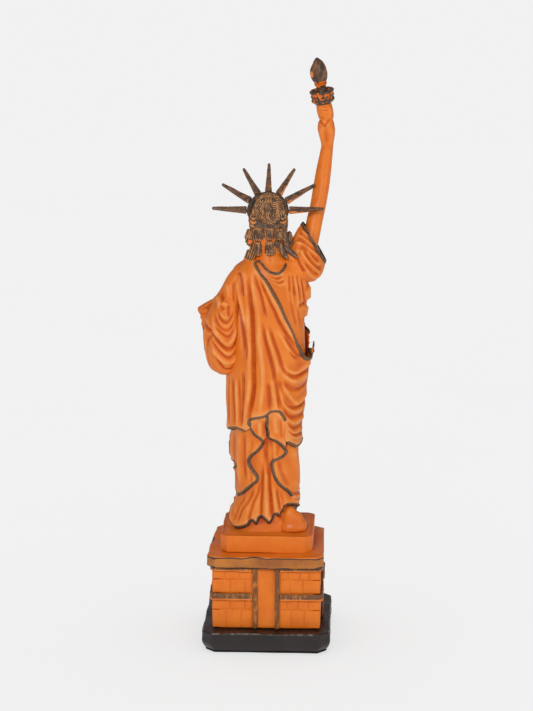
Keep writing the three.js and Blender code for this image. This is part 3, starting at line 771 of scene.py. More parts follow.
def grid_mesh(name, place):
    """A closed skin from an array of points, millimetres, row by row from one end to the other."""
    rows, columns = place.shape[:2]
    deselect()
    bpy.ops.mesh.primitive_grid_add(x_subdivisions=columns - 1, y_subdivisions=rows - 1, size=1)
    piece = bpy.context.object
    piece.name = name
    set_coordinates(piece, place.reshape(-1, 3))
    return piece


def close_seams(piece, angle=75):
    edit_all(piece)
    bpy.ops.mesh.remove_doubles(threshold=2e-6)
    return finish_edit(piece, angle)


def cut_away(piece, outside):
    activate(piece)
    for elements in (piece.data.polygons, piece.data.edges):
        elements.foreach_set("select", np.zeros(len(elements), bool))
    piece.data.vertices.foreach_set("select", outside)
    bpy.ops.object.mode_set(mode="EDIT")
    bpy.ops.mesh.delete(type="VERT")
    bpy.ops.object.mode_set(mode="OBJECT")


ROUND_END = (0.02, 0.4, 0.75, 0.93)


def wind(name, skin, low, high, step, carve, bottom=ROUND_END, top=ROUND_END[::-1], dome=(1.0, 1.0)):
    """A carved skin. At each end it draws in to the shares given, over a dome of that height."""
    levels = np.linspace(low, high, max(3, int((high - low) / step) + 1))
    across = int(2 * skin.half(levels).max() / step)
    z = np.concatenate([np.full(len(bottom), low), levels, np.full(len(top), high)])
    size = np.concatenate([bottom, np.ones(len(levels)), top])
    z = np.repeat(z[:, None], across + 1, axis=1)
    relief = Relief(skin, np.linspace(-1, 1, across + 1)[None, :] * skin.half(z), z)
    carve(relief)
    height = relief.height.reshape(z.shape)
    height[:, 0] = height[:, -1] = (height[:, 0] + height[:, -1]) / 2
    place = skin.point(relief.u, relief.z).reshape(*z.shape, 3)
    ring = np.concatenate([place[:, -3:-1], place, place[:, 1:3]], axis=1)
    upward = np.gradient(place, axis=0)
    upward[: len(bottom)] = upward[len(bottom) + 1]
    upward[len(bottom) + len(levels) :] = upward[len(bottom) + len(levels) - 2]
    normal = np.cross(ring[:, 4:] - ring[:, :-4], upward)
    normal /= np.linalg.norm(normal, axis=2, keepdims=True) + 1e-12
    centre = np.stack([*skin.row(z)[:2], z], axis=-1)
    normal *= np.sign(((place - centre) * normal).sum(2).mean())
    place = centre + (place + normal * height[:, :, None] - centre) * size[:, None, None]
    ends = np.where(np.arange(len(size)) < len(bottom), -dome[0], dome[1])
    place[:, :, 2] += (ends * np.sqrt(np.clip(1 - size**2, 0, 1)))[:, None]
    piece = grid_mesh(name, place)
    tone = relief.tones()
    paint_attribute(piece, "trim", relief.trim)
    paint_attribute(piece, "bare", relief.bare)
    # Painted shade darkens the hollow places, and a painted highlight lightens the proud ones.
    paint_attribute(piece, "hollow", -tone / 0.75)
    paint_attribute(piece, "proud", tone / 0.75)
    if relief.gap is not None:
        cut_away(piece, relief.gap < -0.5)
    return close_seams(piece)

# %% [markdown]
# ## The under robe
# It runs from the shoulders to the floor: pleats at the back of the neck, and below the knee a skirt
# in layers. The folds of the skirt hang in zigzag cascades with a painted hem along each edge.

# %% Under robe sections
def rings(node, count):
    """(z, cx, cy, half x, half y) of evenly spaced rings of a lofted CAD node."""
    points = np.array([v.co for v in frame["nodes"][node].data.vertices]) / MM
    rows = []
    for level in np.linspace(points[:, 2].min(), points[:, 2].max(), count):
        ring = points[np.abs(points[:, 2] - level) < 0.08]
        low, high = ring.min(0), ring.max(0)
        rows.append((level, *(low + high)[:2] / 2, *(high - low)[:2] / 2))
    return np.array(rows)


body_rows = rings("under_robe", 25)
body = Skin(body_rows, 2.25)
OVER_SKIN = 2.6
over = Skin(body_rows + [0, 0, 0, OVER_SKIN, OVER_SKIN], 2.25)
print("Body sections:", len(body_rows), "half way round at the hips:", round(float(body.half(176.0)), 1))

# %% Lines shared by the two robes
SHOULDER_EDGE = [(7, 246.5), (4.2, 242.5), (-0.1, 237.3), (-2.8, 233), (-5, 229), (-7.3, 225), (-9.6, 220.3),
                 (-12.4, 214), (-14.7, 209.3), (-16.9, 204), (-18.7, 199), (-20.3, 194.5), (-21.2, 191.4),
                 (-22.2, 188.8), (-23.4, 187.2), (-24.6, 187)]
FRONT_EDGE = [(-25.6, 188), (-26.6, 191.4), (-26.2, 196), (-24.6, 201), (-21, 207.4), (-15, 215),
              (-7, 226), (2, 236), (8, 242),
              (10, 247)]
HEM_BACK = [(-21.5, 130.5), (-20, 128.5), (-18, 128), (-15.8, 129.8), (-12.9, 131.8), (-11.0, 134.5),
            (-10.9, 139), (-10.8, 145.3), (-10, 148.5), (-8, 151.8), (-6.6, 152.8), (-3.4, 152.8),
            (-1.3, 151.5), (1.2, 149.7), (5, 148.8), (10, 147.5), (10.6, 145.5), (10.8, 142), (15, 139.6),
            (17, 140), (20, 140.3), (24, 138)]
HEM_FRONT = [(24, 137), (20, 133), (14, 131), (9, 127), (4, 126), (-2, 121), (-8, 120), (-14, 125),
             (-20, 131)]
CASCADE_LEFT = [(10.5, 145.5), (10.7, 143), (9.7, 141.4), (7.1, 138), (4.1, 135.8), (2.7, 133.2), (3.7, 131),
                (6.2, 127.5), (9.7, 124.4), (11.4, 121.7), (11.8, 119.2), (10.5, 116.3), (8.8, 113.8),
                (7.1, 111.7), (6, 109.5), (6.7, 107.3), (8.8, 105.3), (11.4, 102.8), (13.1, 101),
                (15.6, 98.3), (18.8, 95.8)]
PANEL_EDGE = [(25.0, 137), (23.9, 128), (23.4, 122), (21.4, 117.6), (18.9, 115.8), (19.6, 113.4), (23.0, 112),
              (22.8, 109.6), (21.2, 103.5), (20.0, 99), (18.8, 95.8)]
CASCADE_RIGHT = [(-0.1, 150), (0.3, 144.7), (-0.3, 140.2), (-0.9, 136.3), (-3.4, 135.2), (-6, 133.6),
                 (-8.8, 131),
                 (-11.0, 127.4), (-11.4, 126.4), (-10.6, 124.9), (-8.8, 123.4), (-6.4, 122.2), (-4, 121.2),
                 (-2.9, 118.7), (-3.6, 113.9), (-5.3, 109), (-7.4, 105.5), (-10, 102.7), (-12.6, 100.3),
                 (-14.9, 97)]
SKIRT_HEM = [(23.2, 91), (23.2, 86.5), (24.2, 81.5), (24.0, 77.5), (22.4, 75.8), (19.9, 75.8), (16, 77.0),
             (13, 78.6), (11.4, 81.0), (9.6, 81.9),
             (7.1, 79.8), (5.4, 83.8), (3.2, 84.3), (1.1, 82.6), (-1.4, 80.4), (-3.2, 82.6), (-4.4, 85.6),
             (-6.2, 86), (-7.9, 84.7), (-9.6, 87), (-10.8, 89.8), (-12.6, 91.2), (-15.1, 90.8), (-19, 88.6),
             (-23, 86)]
FRONT_SKIRT_HEM = [(23.2, 91), (19, 82), (13, 82), (7, 79.5), (2, 82), (-4, 79), (-9, 80.5), (-15, 84),
                   (-20, 85.6),
                   (-23, 86)]

# %% A line across the front
def front_run(skin, points):
    """A line across the front as one unbroken run, past the seam."""
    run, last = [], None
    for u, z in skin.flat(points, True):
        if last is not None and abs(u - last) > skin.half(z):
            u += math.copysign(2 * float(skin.half(z)), last - u)
        run.append((u, z))
        last = u
    return run

# %% Folds on the back of the under robe: height, width, route
UNDER_BACK_FOLDS = [
    (-1.0, 1.0, [(4.5, 108), (5.8, 100.7), (7.5, 96.3), (9.6, 91.8), (11.4, 85), (13, 78)]),
    (-0.9, 1.0, [(7.9, 103), (10, 98), (12.6, 92.8), (16, 88.3), (18.6, 82), (20.2, 77.5)]),
    (-0.7, 0.8, [(13.9, 97.2), (16, 93), (18.2, 89.5), (20.3, 84), (22.2, 79)]),
    (-1.1, 0.9, [(2.8, 120), (3.2, 105), (3.5, 98.5), (3.9, 92), (4.1, 84), (4.4, 78)]),
    (0.9, 1.3, [(1.0, 125), (0.9, 110), (0.7, 98), (0.6, 83), (0.5, 77.5)]),
    (-1.1, 0.9, [(-1.0, 122), (-1.5, 105), (-2.3, 98.5), (-2.7, 92), (-3.2, 84), (-3.7, 78.5)]),
    (0.8, 1.3, [(-3.4, 104), (-4.4, 97), (-5.4, 91), (-6.0, 86), (-7, 80)]),
    (-0.9, 0.8, [(-6.2, 103), (-7, 97), (-7.9, 92), (-9.1, 86), (-10.6, 80.5)]),
    (-0.6, 0.7, [(-8.3, 100.5), (-10, 95), (-10.8, 90), (-12.2, 85)]),
    (-1.3, 1.5, [(1.2, 136), (1.0, 128), (0.6, 118), (0.6, 108)]),
    (0.5, 1.4, [(21.8, 93), (21, 88), (21, 82)]),
    (0.7, 1.6, [(17.5, 139), (17.8, 125), (17.2, 112), (16, 101)]),
    (-0.9, 1.2, [(20.5, 138), (20.5, 126), (19.6, 112), (18.6, 101)]),
    (-0.9, 1.3, [(14.5, 140), (14.4, 128), (14.3, 118), (13.2, 106)]),
    (0.7, 1.2, [(22.8, 131), (22.6, 124), (21.6, 119)]),
    (-0.5, 1.0, [(9.4, 135), (9.8, 129), (12, 124)]),
    (-0.6, 1.0, [(11, 116), (9.8, 110), (10.4, 105)]),
    (0.8, 1.2, [(4.9, 147), (4.6, 141), (3.9, 136.5)]),
    (-0.7, 0.9, [(1.6, 148), (1.6, 142), (1.9, 136)]),
    (0.7, 1.5, [(-4, 151), (-4.6, 145), (-5.5, 138)]),
    (-0.6, 1.2, [(-8.2, 150), (-8.8, 142), (-9.2, 134)]),
    (-0.5, 1.2, [(-7, 133), (-6.5, 128), (-5.5, 123)]),
    (1.7, 5.0, [(-15.0, 130), (-16.8, 118), (-17.4, 108), (-17, 98)]),
    (1.7, 5.5, [(24.6, 138), (24.4, 128), (23.8, 118), (23.2, 109)]),
    (1.2, 4.0, [(24.0, 88), (24.2, 82), (24.0, 76)]),
    (-0.7, 1.4, [(-7.0, 122), (-8.5, 114), (-11.2, 107), (-13.8, 102)]),
    (0.4, 0.8, [(-15.5, 99.5), (-19, 98.5), (-22.5, 99.5)]),
    (-0.5, 0.7, [(-14.8, 97.6), (-19, 96.4), (-22.5, 97)]),
    (0.5, 0.8, [(-15, 95.6), (-19, 94.6), (-22.5, 95)]),
    (-0.4, 0.7, [(-15, 93.9), (-19, 92.6), (-22.5, 92.6)]),
    (0.6, 0.7, [(-0.7, 241.6), (-2.9, 239.8), (-5.6, 239.2), (-8.7, 240.4), (-10.1, 242.6)]),
    (0.6, 0.8, [(-2.5, 238.6), (-5.2, 236.9), (-7.8, 236.9), (-10.5, 238.6)]),
    (0.5, 0.8, [(-3.8, 236), (-7, 234.2), (-10.5, 234.7), (-11.9, 237)]),
    (-0.7, 0.7, [(-1.6, 240.2), (-5.4, 238), (-9.4, 239.6)]),
    (-0.6, 0.7, [(-3.3, 237.2), (-6.6, 235.4), (-11, 236.8)]),
    (-0.7, 0.8, [(-13.7, 241), (-13.9, 236), (-13.7, 229)]),
    (-0.8, 0.8, [(-15.7, 241), (-16.4, 232.6), (-17.3, 225.5)]),
    (-0.8, 0.8, [(-18.1, 243), (-19, 235.8), (-20.3, 229), (-21.2, 221.5)]),
    (-1.3, 1.0, [(-20.1, 244), (-21.6, 237), (-22.7, 229), (-23.4, 220)]),
    (0.5, 0.9, [(-12.4, 236), (-12.6, 230), (-13, 222)]),
    (0.5, 0.9, [(-14.9, 238), (-15.3, 230), (-16.1, 218)]),
    (0.6, 1.0, [(-17.3, 238), (-18.2, 230), (-19.3, 216)]),
    (-0.6, 0.9, [(-14.6, 224), (-16.4, 215), (-18.6, 207)]),
    (-0.6, 0.9, [(-18.4, 222), (-19.8, 214), (-21.3, 205)]),
    (1.8, 4.5, [(-24.6, 231), (-25.2, 227), (-24.6, 222)]),
    (1.4, 4.0, [(-24.4, 219), (-24.6, 215), (-24.2, 211)]),
    (-0.9, 1.2, [(-19.5, 219.5), (-21.8, 220.6), (-23.8, 221.3)]),
]

# %% Folds on the front of the under robe
UNDER_FRONT_FOLDS = [
    (-1.3, 1.6, [(16, 128), (16.5, 112), (18, 96), (19.5, 84)]),
    (-1.4, 1.8, [(10.5, 126), (11, 110), (11.5, 96), (12, 82)]),
    (-1.4, 1.7, [(4.5, 122), (5, 108), (5, 95), (4.5, 82)]),
    (-1.4, 1.8, [(-1.5, 118), (-1.5, 105), (-1.6, 94), (-2, 82)]),
    (-1.2, 1.6, [(-8, 118), (-8.5, 106), (-9.5, 95), (-10.5, 83)]),
    (-1.2, 1.6, [(-14.5, 122), (-15, 110), (-16, 98), (-17, 86)]),
    (0.9, 1.8, [(13.5, 128), (13.8, 112), (14.6, 96), (15.6, 84)]),
    (0.9, 1.8, [(7.5, 124), (8, 108), (8.2, 95), (8.3, 82)]),
    (0.9, 1.8, [(1.5, 120), (1.6, 106), (1.5, 94), (1.2, 83)]),
    (0.9, 1.8, [(-4.6, 117), (-4.9, 104), (-5.4, 94), (-6, 83)]),
    (0.9, 1.6, [(-11.4, 120), (-11.8, 108), (-12.6, 96), (-13.6, 84)]),
    (-1.0, 1.2, [(-12, 240), (-11.5, 228), (-12, 218), (-14, 210)]),
    (-1.0, 1.2, [(-7, 241), (-6.5, 234), (-6.8, 228)]),
    (-0.9, 1.2, [(-16.5, 238), (-16.5, 226), (-17.5, 214)]),
    (0.8, 1.6, [(-9.5, 240), (-9, 230), (-9.4, 222)]),
    (0.8, 1.6, [(-14.2, 240), (-14, 228), (-15.4, 214)]),
    (-0.8, 1.1, [(-2, 241), (-1.2, 238), (-1, 235)]),
]

# %% Carving the under robe
def carve_under(relief):
    skin = relief.skin
    covered = relief.z > 157
    ripple = wobble(np.stack([relief.u, relief.z, relief.z * 0], axis=-1), 30.0, 0.25)[:, 0]
    relief.height += ripple
    edge_left, left = skin.flat(PANEL_EDGE), skin.flat(CASCADE_LEFT)
    right = skin.flat(CASCADE_RIGHT)
    relief.lap([(31, 156), *edge_left, *left[::-1], (12, 156)], 1.3)
    relief.lap([*left[:6], *skin.flat([(0.8, 137), (0.3, 144.7), (-0.1, 156)]), (11, 156)], 2.0)
    relief.lap([*right[:8], *skin.flat([(-11, 134), (-10.8, 156), (0, 156)])], 2.2)
    relief.lap([*skin.flat([(-3, 137)]), *right[5:13]], 1.2, 1.6)
    calf = [*right[9:], *skin.flat([(-15.5, 92.7)]), (-24, 90), (-40, 92), (-40, 133),
            *skin.flat([(-13, 133)])]
    relief.lap(calf, 1.0, 1.2)
    hem_back, hem_front = skin.flat(SKIRT_HEM), skin.flat(FRONT_SKIRT_HEM, True)
    whole = [*hem_back, *[(u, z) for u, z in hem_front[::-1] if u < 0], (-75, 79.5), (-75, 60), (75, 60),
             (75, 79.5), *[(u, z) for u, z in hem_front[::-1] if u > 0]]
    relief.lap(whole, -2.2, 0.9)
    for points in (edge_left, left, right, hem_back):
        relief.hem(points)
    half = float(skin.half(80.0))
    front_hem = [(u if u > 0 else u + 2 * half, z) for u, z in hem_front]
    relief.hem(front_hem)
    for height, width, points in UNDER_BACK_FOLDS:
        relief.fold(skin.flat(points), height, width)
    for height, width, points in UNDER_FRONT_FOLDS:
        relief.fold(front_run(skin, points), height, width)
    neckline = [(5.8, 248.3), (3.5, 246.4), (1.2, 243.9), (-1.2, 242.1), (-3.8, 241.1), (-6.4, 241),
                (-8.8, 242.3),
                (-10.6, 244.9), (-11.5, 247.4), (-11.2, 249.5)]
    relief.hem(skin.flat(neckline), 0.45, 0.85)
    edge = np.array(skin.flat(SHOULDER_EDGE[::-1]))
    edge_at = np.where(relief.z > edge[0, 1], np.interp(relief.z, edge[:, 1], edge[:, 0]), -34)
    deep = (relief.u > edge_at + 3.5) & covered
    relief.height[deep] = -1.2
    hem_height = np.interp(relief.u, *np.array(sorted(skin.flat(HEM_BACK))).T)
    hidden = soft_step(relief.z - hem_height, 0.8, 2.8) * (relief.z < 170) * (np.abs(relief.u) < 34)
    relief.height = relief.height * (1 - hidden) + np.minimum(relief.height, -1.2) * hidden


under_robe = wind("under_robe_cloth", body, body_rows[0, 0], body_rows[-1, 0], 0.56, carve_under)
hand_over(under_robe, robe_paint, "orange_resin", "under_robe")

# %% [markdown]
# ## The over robe
# One length of cloth goes over her left shoulder, crosses her back, and swings out in a pouch on her
# right hip. The edge stands off there, so it is a real shell. Elsewhere its edges dip into the layer
# below, which leaves a clean line and no gap.

# %% Folds on the back of the over robe
OVER_BACK_FOLDS = [
    (-2.0, 1.5, [(24.6, 236), (23.3, 233), (22, 227.5), (20.2, 222), (18.3, 214), (17, 209.5), (15.9, 204.5),
                 (14.7, 198.5), (14, 193), (13.6, 186)]),
    (-1.2, 0.9, [(19.5, 243.5), (18, 240), (16.8, 235.5), (16, 231), (15.6, 226)]),
    (0.8, 1.2, [(15.8, 243), (14.6, 238), (13.9, 232), (13.4, 226)]),
    (0.9, 1.3, [(20.2, 238), (19, 231), (17.6, 224), (16, 216), (14, 206)]),
    (-1.7, 1.3, [(13, 238), (12.1, 232), (11.4, 228), (11, 223.3), (10.2, 216), (9.4, 205), (9.1, 195.7),
                 (8.9, 186.6), (8.7, 177.5), (8.5, 171), (9.2, 163), (10.5, 157), (11.8, 149), (11.8, 141)]),
    (1.0, 1.5, [(13.6, 222), (12.7, 212), (11.9, 200), (11.5, 188), (11.3, 176), (12, 165), (13.6, 155),
                (14.2, 145)]),
    (-1.0, 1.0, [(8.6, 242), (7.1, 235.7), (5.2, 231), (3.4, 225), (2.1, 219), (0.7, 213)]),
    (0.8, 1.4, [(10.4, 240), (9.2, 233), (7.8, 226), (6.4, 218), (5.6, 209), (5, 199)]),
    (-1.1, 1.0, [(6.6, 242), (4.3, 236.8), (2.1, 231.8), (-0.2, 227), (-2.4, 222), (-4.7, 217.7),
                 (-6.6, 213), (-9, 208.6), (-11.5, 204.5), (-14.2, 200.3), (-16.4, 197), (-19, 192.6)]),
    (0.9, 1.5, [(5, 241), (1.8, 235.5), (-1, 230), (-3.4, 225), (-6, 219.5), (-8.6, 214), (-11.6, 208.4),
                (-14.6, 203.4), (-17.4, 198.6), (-20, 194.4)]),
    (-0.8, 0.8, [(-10.7, 202.6), (-13.4, 198), (-16.5, 193), (-19.2, 189.3), (-21.5, 187)]),
    (-0.6, 0.7, [(-13.8, 192.8), (-16, 189.2), (-19.2, 186.5)]),
    (0.6, 0.9, [(-6, 206), (-9.2, 201), (-12.4, 195.4), (-15.6, 190)]),
    (-1.1, 1.1, [(3.3, 211), (2, 203.5), (0.4, 196.7), (-0.9, 191.2), (-2.5, 185.7), (-4.3, 177.5),
                 (-5.7, 169)]),
    (0.9, 1.5, [(6, 206), (4.8, 196), (3.6, 186), (2.8, 176), (3.4, 166), (4.4, 156), (4.6, 149)]),
    (-1.0, 1.0, [(-0.7, 209.5), (-2.5, 203.5), (-4.7, 197), (-7, 191), (-8.8, 184.8), (-10.6, 179.3),
                 (-12, 174.8)]),
    (0.8, 1.2, [(0.6, 206), (-1.4, 198), (-3.8, 191), (-5.6, 184), (-7.4, 177)]),
    (-0.8, 0.9, [(24.5, 174), (24.5, 164), (24.9, 152), (24.4, 141)]),
    (0.7, 1.0, [(23.5, 174), (23.5, 160), (23.4, 148), (22.6, 141)]),
    (-0.9, 0.9, [(22.4, 174), (22.2, 162), (21.4, 150), (20.8, 141)]),
    (0.8, 1.1, [(20.4, 175), (19.8, 164), (19.4, 152), (19, 142)]),
    (1.4, 6.0, [(26, 182), (26, 170), (26, 150), (25, 136), (25, 128)]),
    (-1.2, 0.9, [(15.3, 180), (15.5, 170), (16, 158), (16.8, 141)]),
    (-0.7, 0.8, [(18.2, 176), (18, 164), (17.8, 152), (18, 144)]),
    (-0.8, 1.2, [(-0.5, 173), (-1.2, 165), (-1.4, 158), (-1.2, 152)]),
    (0.9, 1.5, [(-3.2, 174), (-4.0, 167), (-5.2, 160), (-6.5, 153.5)]),
    (-0.9, 1.0, [(-5.6, 174), (-7, 163), (-8.0, 154)]),
    (-1.0, 1.3, [(-6.9, 175), (-9, 169), (-11.6, 164.3), (-14.5, 159.8), (-18, 156.7)]),
    (1.0, 1.4, [(-8.5, 185), (-13.5, 179.5), (-18, 178), (-22, 180), (-26, 185)]),
    (1.1, 1.6, [(-7.6, 182), (-12, 176), (-17, 172.8), (-21, 173.2), (-25.5, 178)]),
    (-0.8, 1.2, [(-9.5, 181.4), (-13, 177.4), (-17.5, 175.4), (-22, 176.8), (-26, 181)]),
    (-0.9, 1.4, [(-9.6, 174), (-14, 169), (-19, 167), (-23, 168.6), (-26, 172)]),
    (1.2, 1.8, [(-8.2, 172), (-11.6, 165.7), (-15.8, 159.5), (-19.7, 158), (-23, 161), (-26, 166)]),
    (1.0, 1.4, [(-6.9, 168), (-10.7, 159), (-15, 153.7), (-18.8, 152.3), (-22.2, 154), (-25.4, 158)]),
    (-0.8, 1.1, [(-9.5, 163), (-13, 157), (-17.5, 155), (-21.5, 156.4), (-25, 161)]),
    (-0.8, 1.1, [(-9.6, 157), (-13, 150.6), (-17.5, 148.6), (-21.5, 149.6), (-25, 152)]),
    (0.9, 1.2, [(-10.0, 153), (-13.3, 147.3), (-16.7, 145.2), (-20, 145.6), (-23.6, 148)]),
    (0.8, 1.1, [(-11.4, 146), (-15, 140.2), (-18, 138.4), (-22.4, 140)]),
    (-0.7, 0.9, [(-11.6, 149), (-14.6, 143.2), (-18, 141.6), (-22.6, 143.6)]),
    (0.7, 0.9, [(-12.2, 141), (-15, 137), (-18, 134.8), (-22, 134.6)]),
    (-0.6, 0.8, [(-12.4, 143), (-15.2, 138.4), (-18.6, 136.6), (-22, 137)]),
]

# %% Carving the over robe
OPEN_TOP = 262  # above the shoulders, where the cloth has no upper edge


def carve_over(relief):
    skin = relief.skin
    shoulder = skin.flat(SHOULDER_EDGE)
    lower, upper = skin.flat(HEM_BACK), skin.flat(FRONT_EDGE, True)
    hem_front = skin.flat(HEM_FRONT, True)
    half_low, half_high = float(skin.half(127.0)), float(skin.half(230.0))
    left_half = [(u, z) for u, z in hem_front if u > 0]
    right_half = [(u, z) for u, z in hem_front if u < 0]
    meet = (left_half[-1][1] + right_half[0][1]) / 2
    hem_line = [(-half_low, meet), *right_half, *lower, *left_half, (half_low, meet)]
    up_right = [(u, z) for u, z in upper if u < 0]
    up_left = [(u, z) for u, z in upper if u > 0]
    top_meet = (up_right[-1][1] + up_left[0][1]) / 2
    top_line = [*shoulder, *up_right, (-half_high, top_meet)]
    floor = np.interp(relief.u, *np.array(sorted(hem_line)).T)
    roof_back = np.interp(relief.u, *np.array(sorted(top_line)).T)
    front_left = sorted([*up_left, (half_high, top_meet)])
    front_start = front_left[0][0] - 0.5
    roof_left = np.interp(relief.u, *np.array([(front_start, OPEN_TOP), *front_left]).T)
    roof_front = np.where(relief.u > front_start, roof_left, OPEN_TOP)
    roof = np.where(relief.u > shoulder[0][0], roof_front, roof_back)
    inside = (relief.z > floor) & (relief.z < roof)
    gap = np.full(relief.u.size, 30.0)
    top_curve = [(half_high, top_meet), *sorted(up_left, reverse=True)]
    for line in (hem_line, top_line, top_curve):
        for where, side, _ in relief.near(smooth_line(line), 9.0):
            gap[where] = np.minimum(gap[where], np.abs(side))
    relief.gap = np.where(inside, gap, -gap)
    relief.height += wobble(np.stack([relief.u, relief.z, relief.z * 0], axis=-1), 34.0, 0.3)[:, 0]
    for height, width, points in OVER_BACK_FOLDS:
        relief.fold(skin.flat(points), height, width)
    front_folds = []
    for k in range(9):
        z = 146 + 9.6 * k
        bend = 10 - k
        front_folds.append((1.5 - 0.05 * k, 2.1, [
            (24 - 0.4 * k, z + 26 + 1.5 * k), (14, z + 10 + k), (2, z - bend), (-10, z - bend - 2),
            (-19, z - 2),
            (-24, z + 9),
        ]))
        front_folds.append((-1.3, 1.3, [
            (24 - 0.4 * k, z + 21 + 1.5 * k), (13, z + 5.4 + k), (1, z - bend - 4.4), (-10, z - bend - 6.4),
            (-19, z - 6), (-24, z + 4),
        ]))
    for height, width, points in front_folds:
        relief.fold(front_run(skin, points), height, width)
    away = np.clip(relief.gap, 0, None)
    hip = skin.flat([(-25.2, 186)])[0][0]
    pouch = np.exp(-(((relief.u - hip + 2) / 10.5) ** 2)) * (relief.z > 165)
    near_top = np.exp(-((np.clip(roof - relief.z, 0, None) / 8.0) ** 2))
    stand = 2.9 * pouch * near_top
    near_hem = np.exp(-(((relief.z - floor) / 6.0) ** 2)) * (relief.z > floor - 2)
    relief.height += stand + 0.7 * near_hem
    dip = (OVER_SKIN + 0.9) * (1 - np.sqrt(1 - (1 - np.clip(away / 1.3, 0, 1)) ** 2))
    free = np.clip(stand / 1.2, 0, 1)
    relief.height -= dip * (1 - free)
    for line in (shoulder, lower[:5], lower[8:17], lower[18:], front_run(skin, HEM_FRONT),
                 front_run(skin, FRONT_EDGE)):
        relief.hem(line, 0.6, 1.1, 1.0)
    relief.hem([shoulder[-1], upper[0]], 0.6, 1.1, 1.0)


over_robe = wind("over_robe_cloth", over, 114.0, body_rows[-1, 0], 0.62, carve_over, bottom=(),
                 top=(0.97, 0.9))
apply_modifier(over_robe, "SOLIDIFY", thickness=0.8 * MM, offset=-1)
hand_over(over_robe, robe_paint, "orange_resin", "over_robe")

# %% [markdown]
# ## Left sleeve, hand and tablet
# The wide sleeve hangs from the bent left arm in nested U-shaped swags, below a knot of cloth at the
# elbow. Her hand closes round the edge of a plain tablet, whose top corner shows beside the sleeve.

# %% Swags of the left sleeve
SWAGS = [
    (-1.0, 1.0, [(32, 216.5), (30, 212.8), (27.6, 210.3), (25, 210), (22.6, 212.5), (21.7, 216.3)]),
    (-0.9, 0.9, [(34, 216), (33, 211.5), (30.7, 207.7), (27.6, 205.3), (25, 205), (22.6, 206.7),
                 (20.8, 210.8)]),
    (-0.8, 0.8, [(35, 208.5), (31, 205), (28, 202.3), (25, 200.8), (22.5, 202.2), (21, 205.8)]),
    (1.0, 1.3, [(35.5, 213), (33.5, 206), (30, 199.7), (27.6, 197), (25, 196.2), (22.6, 198), (20.8, 202),
                (19.6, 208)]),
    (-1.6, 1.4, [(41, 209), (38, 204.5), (35, 202), (33, 199.3), (30, 196), (27, 193.2), (24, 192.2),
                 (21, 193.5), (19, 198), (18, 203)]),
    (0.9, 1.2, [(38.4, 212), (36.4, 206.5), (34, 202.6), (31.4, 199.2)]),
    (-1.1, 1.1, [(36.5, 200.5), (35.3, 197), (33, 193.7), (30, 190.4), (27, 187.8), (24, 186.8), (21, 188.7),
                 (18.8, 193), (17.8, 199.5)]),
    (0.9, 1.2, [(36, 195), (34.4, 191), (31.6, 187.4), (28, 184.2), (24.4, 183.2), (21, 185), (18.4, 190)]),
    (-1.2, 1.1, [(34, 189.5), (32, 186), (29.8, 182), (27.6, 179.3), (24.7, 178.7), (21.2, 180), (18.5, 184),
                 (16.7, 190), (16, 196.5)]),
    (-1.0, 1.2, [(37.4, 211), (35.7, 203), (38.6, 196), (38.6, 186), (36, 179)]),
    (0.9, 1.4, [(39.8, 206), (40, 198), (38.6, 190)]),
    (1.3, 1.6, [(28.6, 222.4), (27, 221), (25.6, 222.4)]),
    (-0.9, 0.8, [(30.4, 220.6), (29, 218.8), (27.3, 218)]),
    (-0.9, 0.9, [(24.4, 221), (24.6, 217), (23.6, 213)]),
    (0.8, 1.1, [(30, 217), (28.5, 213.6), (26.4, 213), (24.8, 215)]),
    (1.4, 1.5, [(32, 225), (30.6, 221.6), (31.2, 218)]),
    (-1.3, 1.1, [(29.6, 228.5), (28.8, 224.6), (27.6, 224)]),
    (0.7, 1.3, [(26.4, 234), (25.2, 229), (24.6, 224)]),
    (-0.7, 1.0, [(21.5, 236), (21.4, 228), (20.8, 221)]),
]

# %% Left sleeve
LEFT_SLEEVE = [(175, 27.5, 2, 5, 6), (178.5, 28, 1, 9.6, 11), (186, 28.4, -1, 12, 15),
               (196, 28.8, -2, 12.6, 17),
               (206, 28.8, -2, 12.4, 17), (214, 27.6, -1, 11, 15), (222, 25.4, 0, 9, 12),
               (230, 22.8, 0, 7.2, 10),
               (238, 19.6, 0, 6, 8.6), (244.5, 16.6, 0, 3.4, 5.4)]


def carve_left_sleeve(relief):
    skin = relief.skin
    for height, width, points in SWAGS:
        relief.fold(skin.flat(points), height, width)
    quarter = relief.round / 4
    relief.height *= 0.9 * (0.3 + 0.7 * soft_step(np.abs(relief.u - quarter), 0.5, 5.0))
    for k in range(6):
        z = 183 + 7.4 * k
        sweep = [(37.5, z + 8), (34, z + 3), (29, z), (23, z + 2), (20, z + 6)]
        relief.fold(front_run(skin, sweep), (-1.2, 1.1)[k % 2], 1.5, fade=0.3)
    side = float(skin.flat([(50, 200)])[0][0])
    edge = [(side - 1.5, 205), (side - 1.0, 200), (side - 0.5, 194), (side, 188), (side + 3, 182),
            (side + 9, 178.5)]
    relief.hem(edge, 0.5, 0.9)


left_sleeve = wind("left_sleeve_cloth", Skin(LEFT_SLEEVE, 2.15), 175, 244.5, 0.42, carve_left_sleeve)
hand_over(left_sleeve, robe_paint, "orange_resin", "left_sleeve")

# %% Tablet
tablet = cast_block("tablet_blank", "tablet", 0.8, 0.4, 16.0, 0.3)
hand_over(tablet, skin_paint, "orange_resin", "tablet")

# %% [markdown]
# Rounded parts such as fingers, curls and feet start as eggs: a grid on an ellipsoid, with a height
# for every point. Several eggs can be merged with a remesh, the way clay is pressed together.

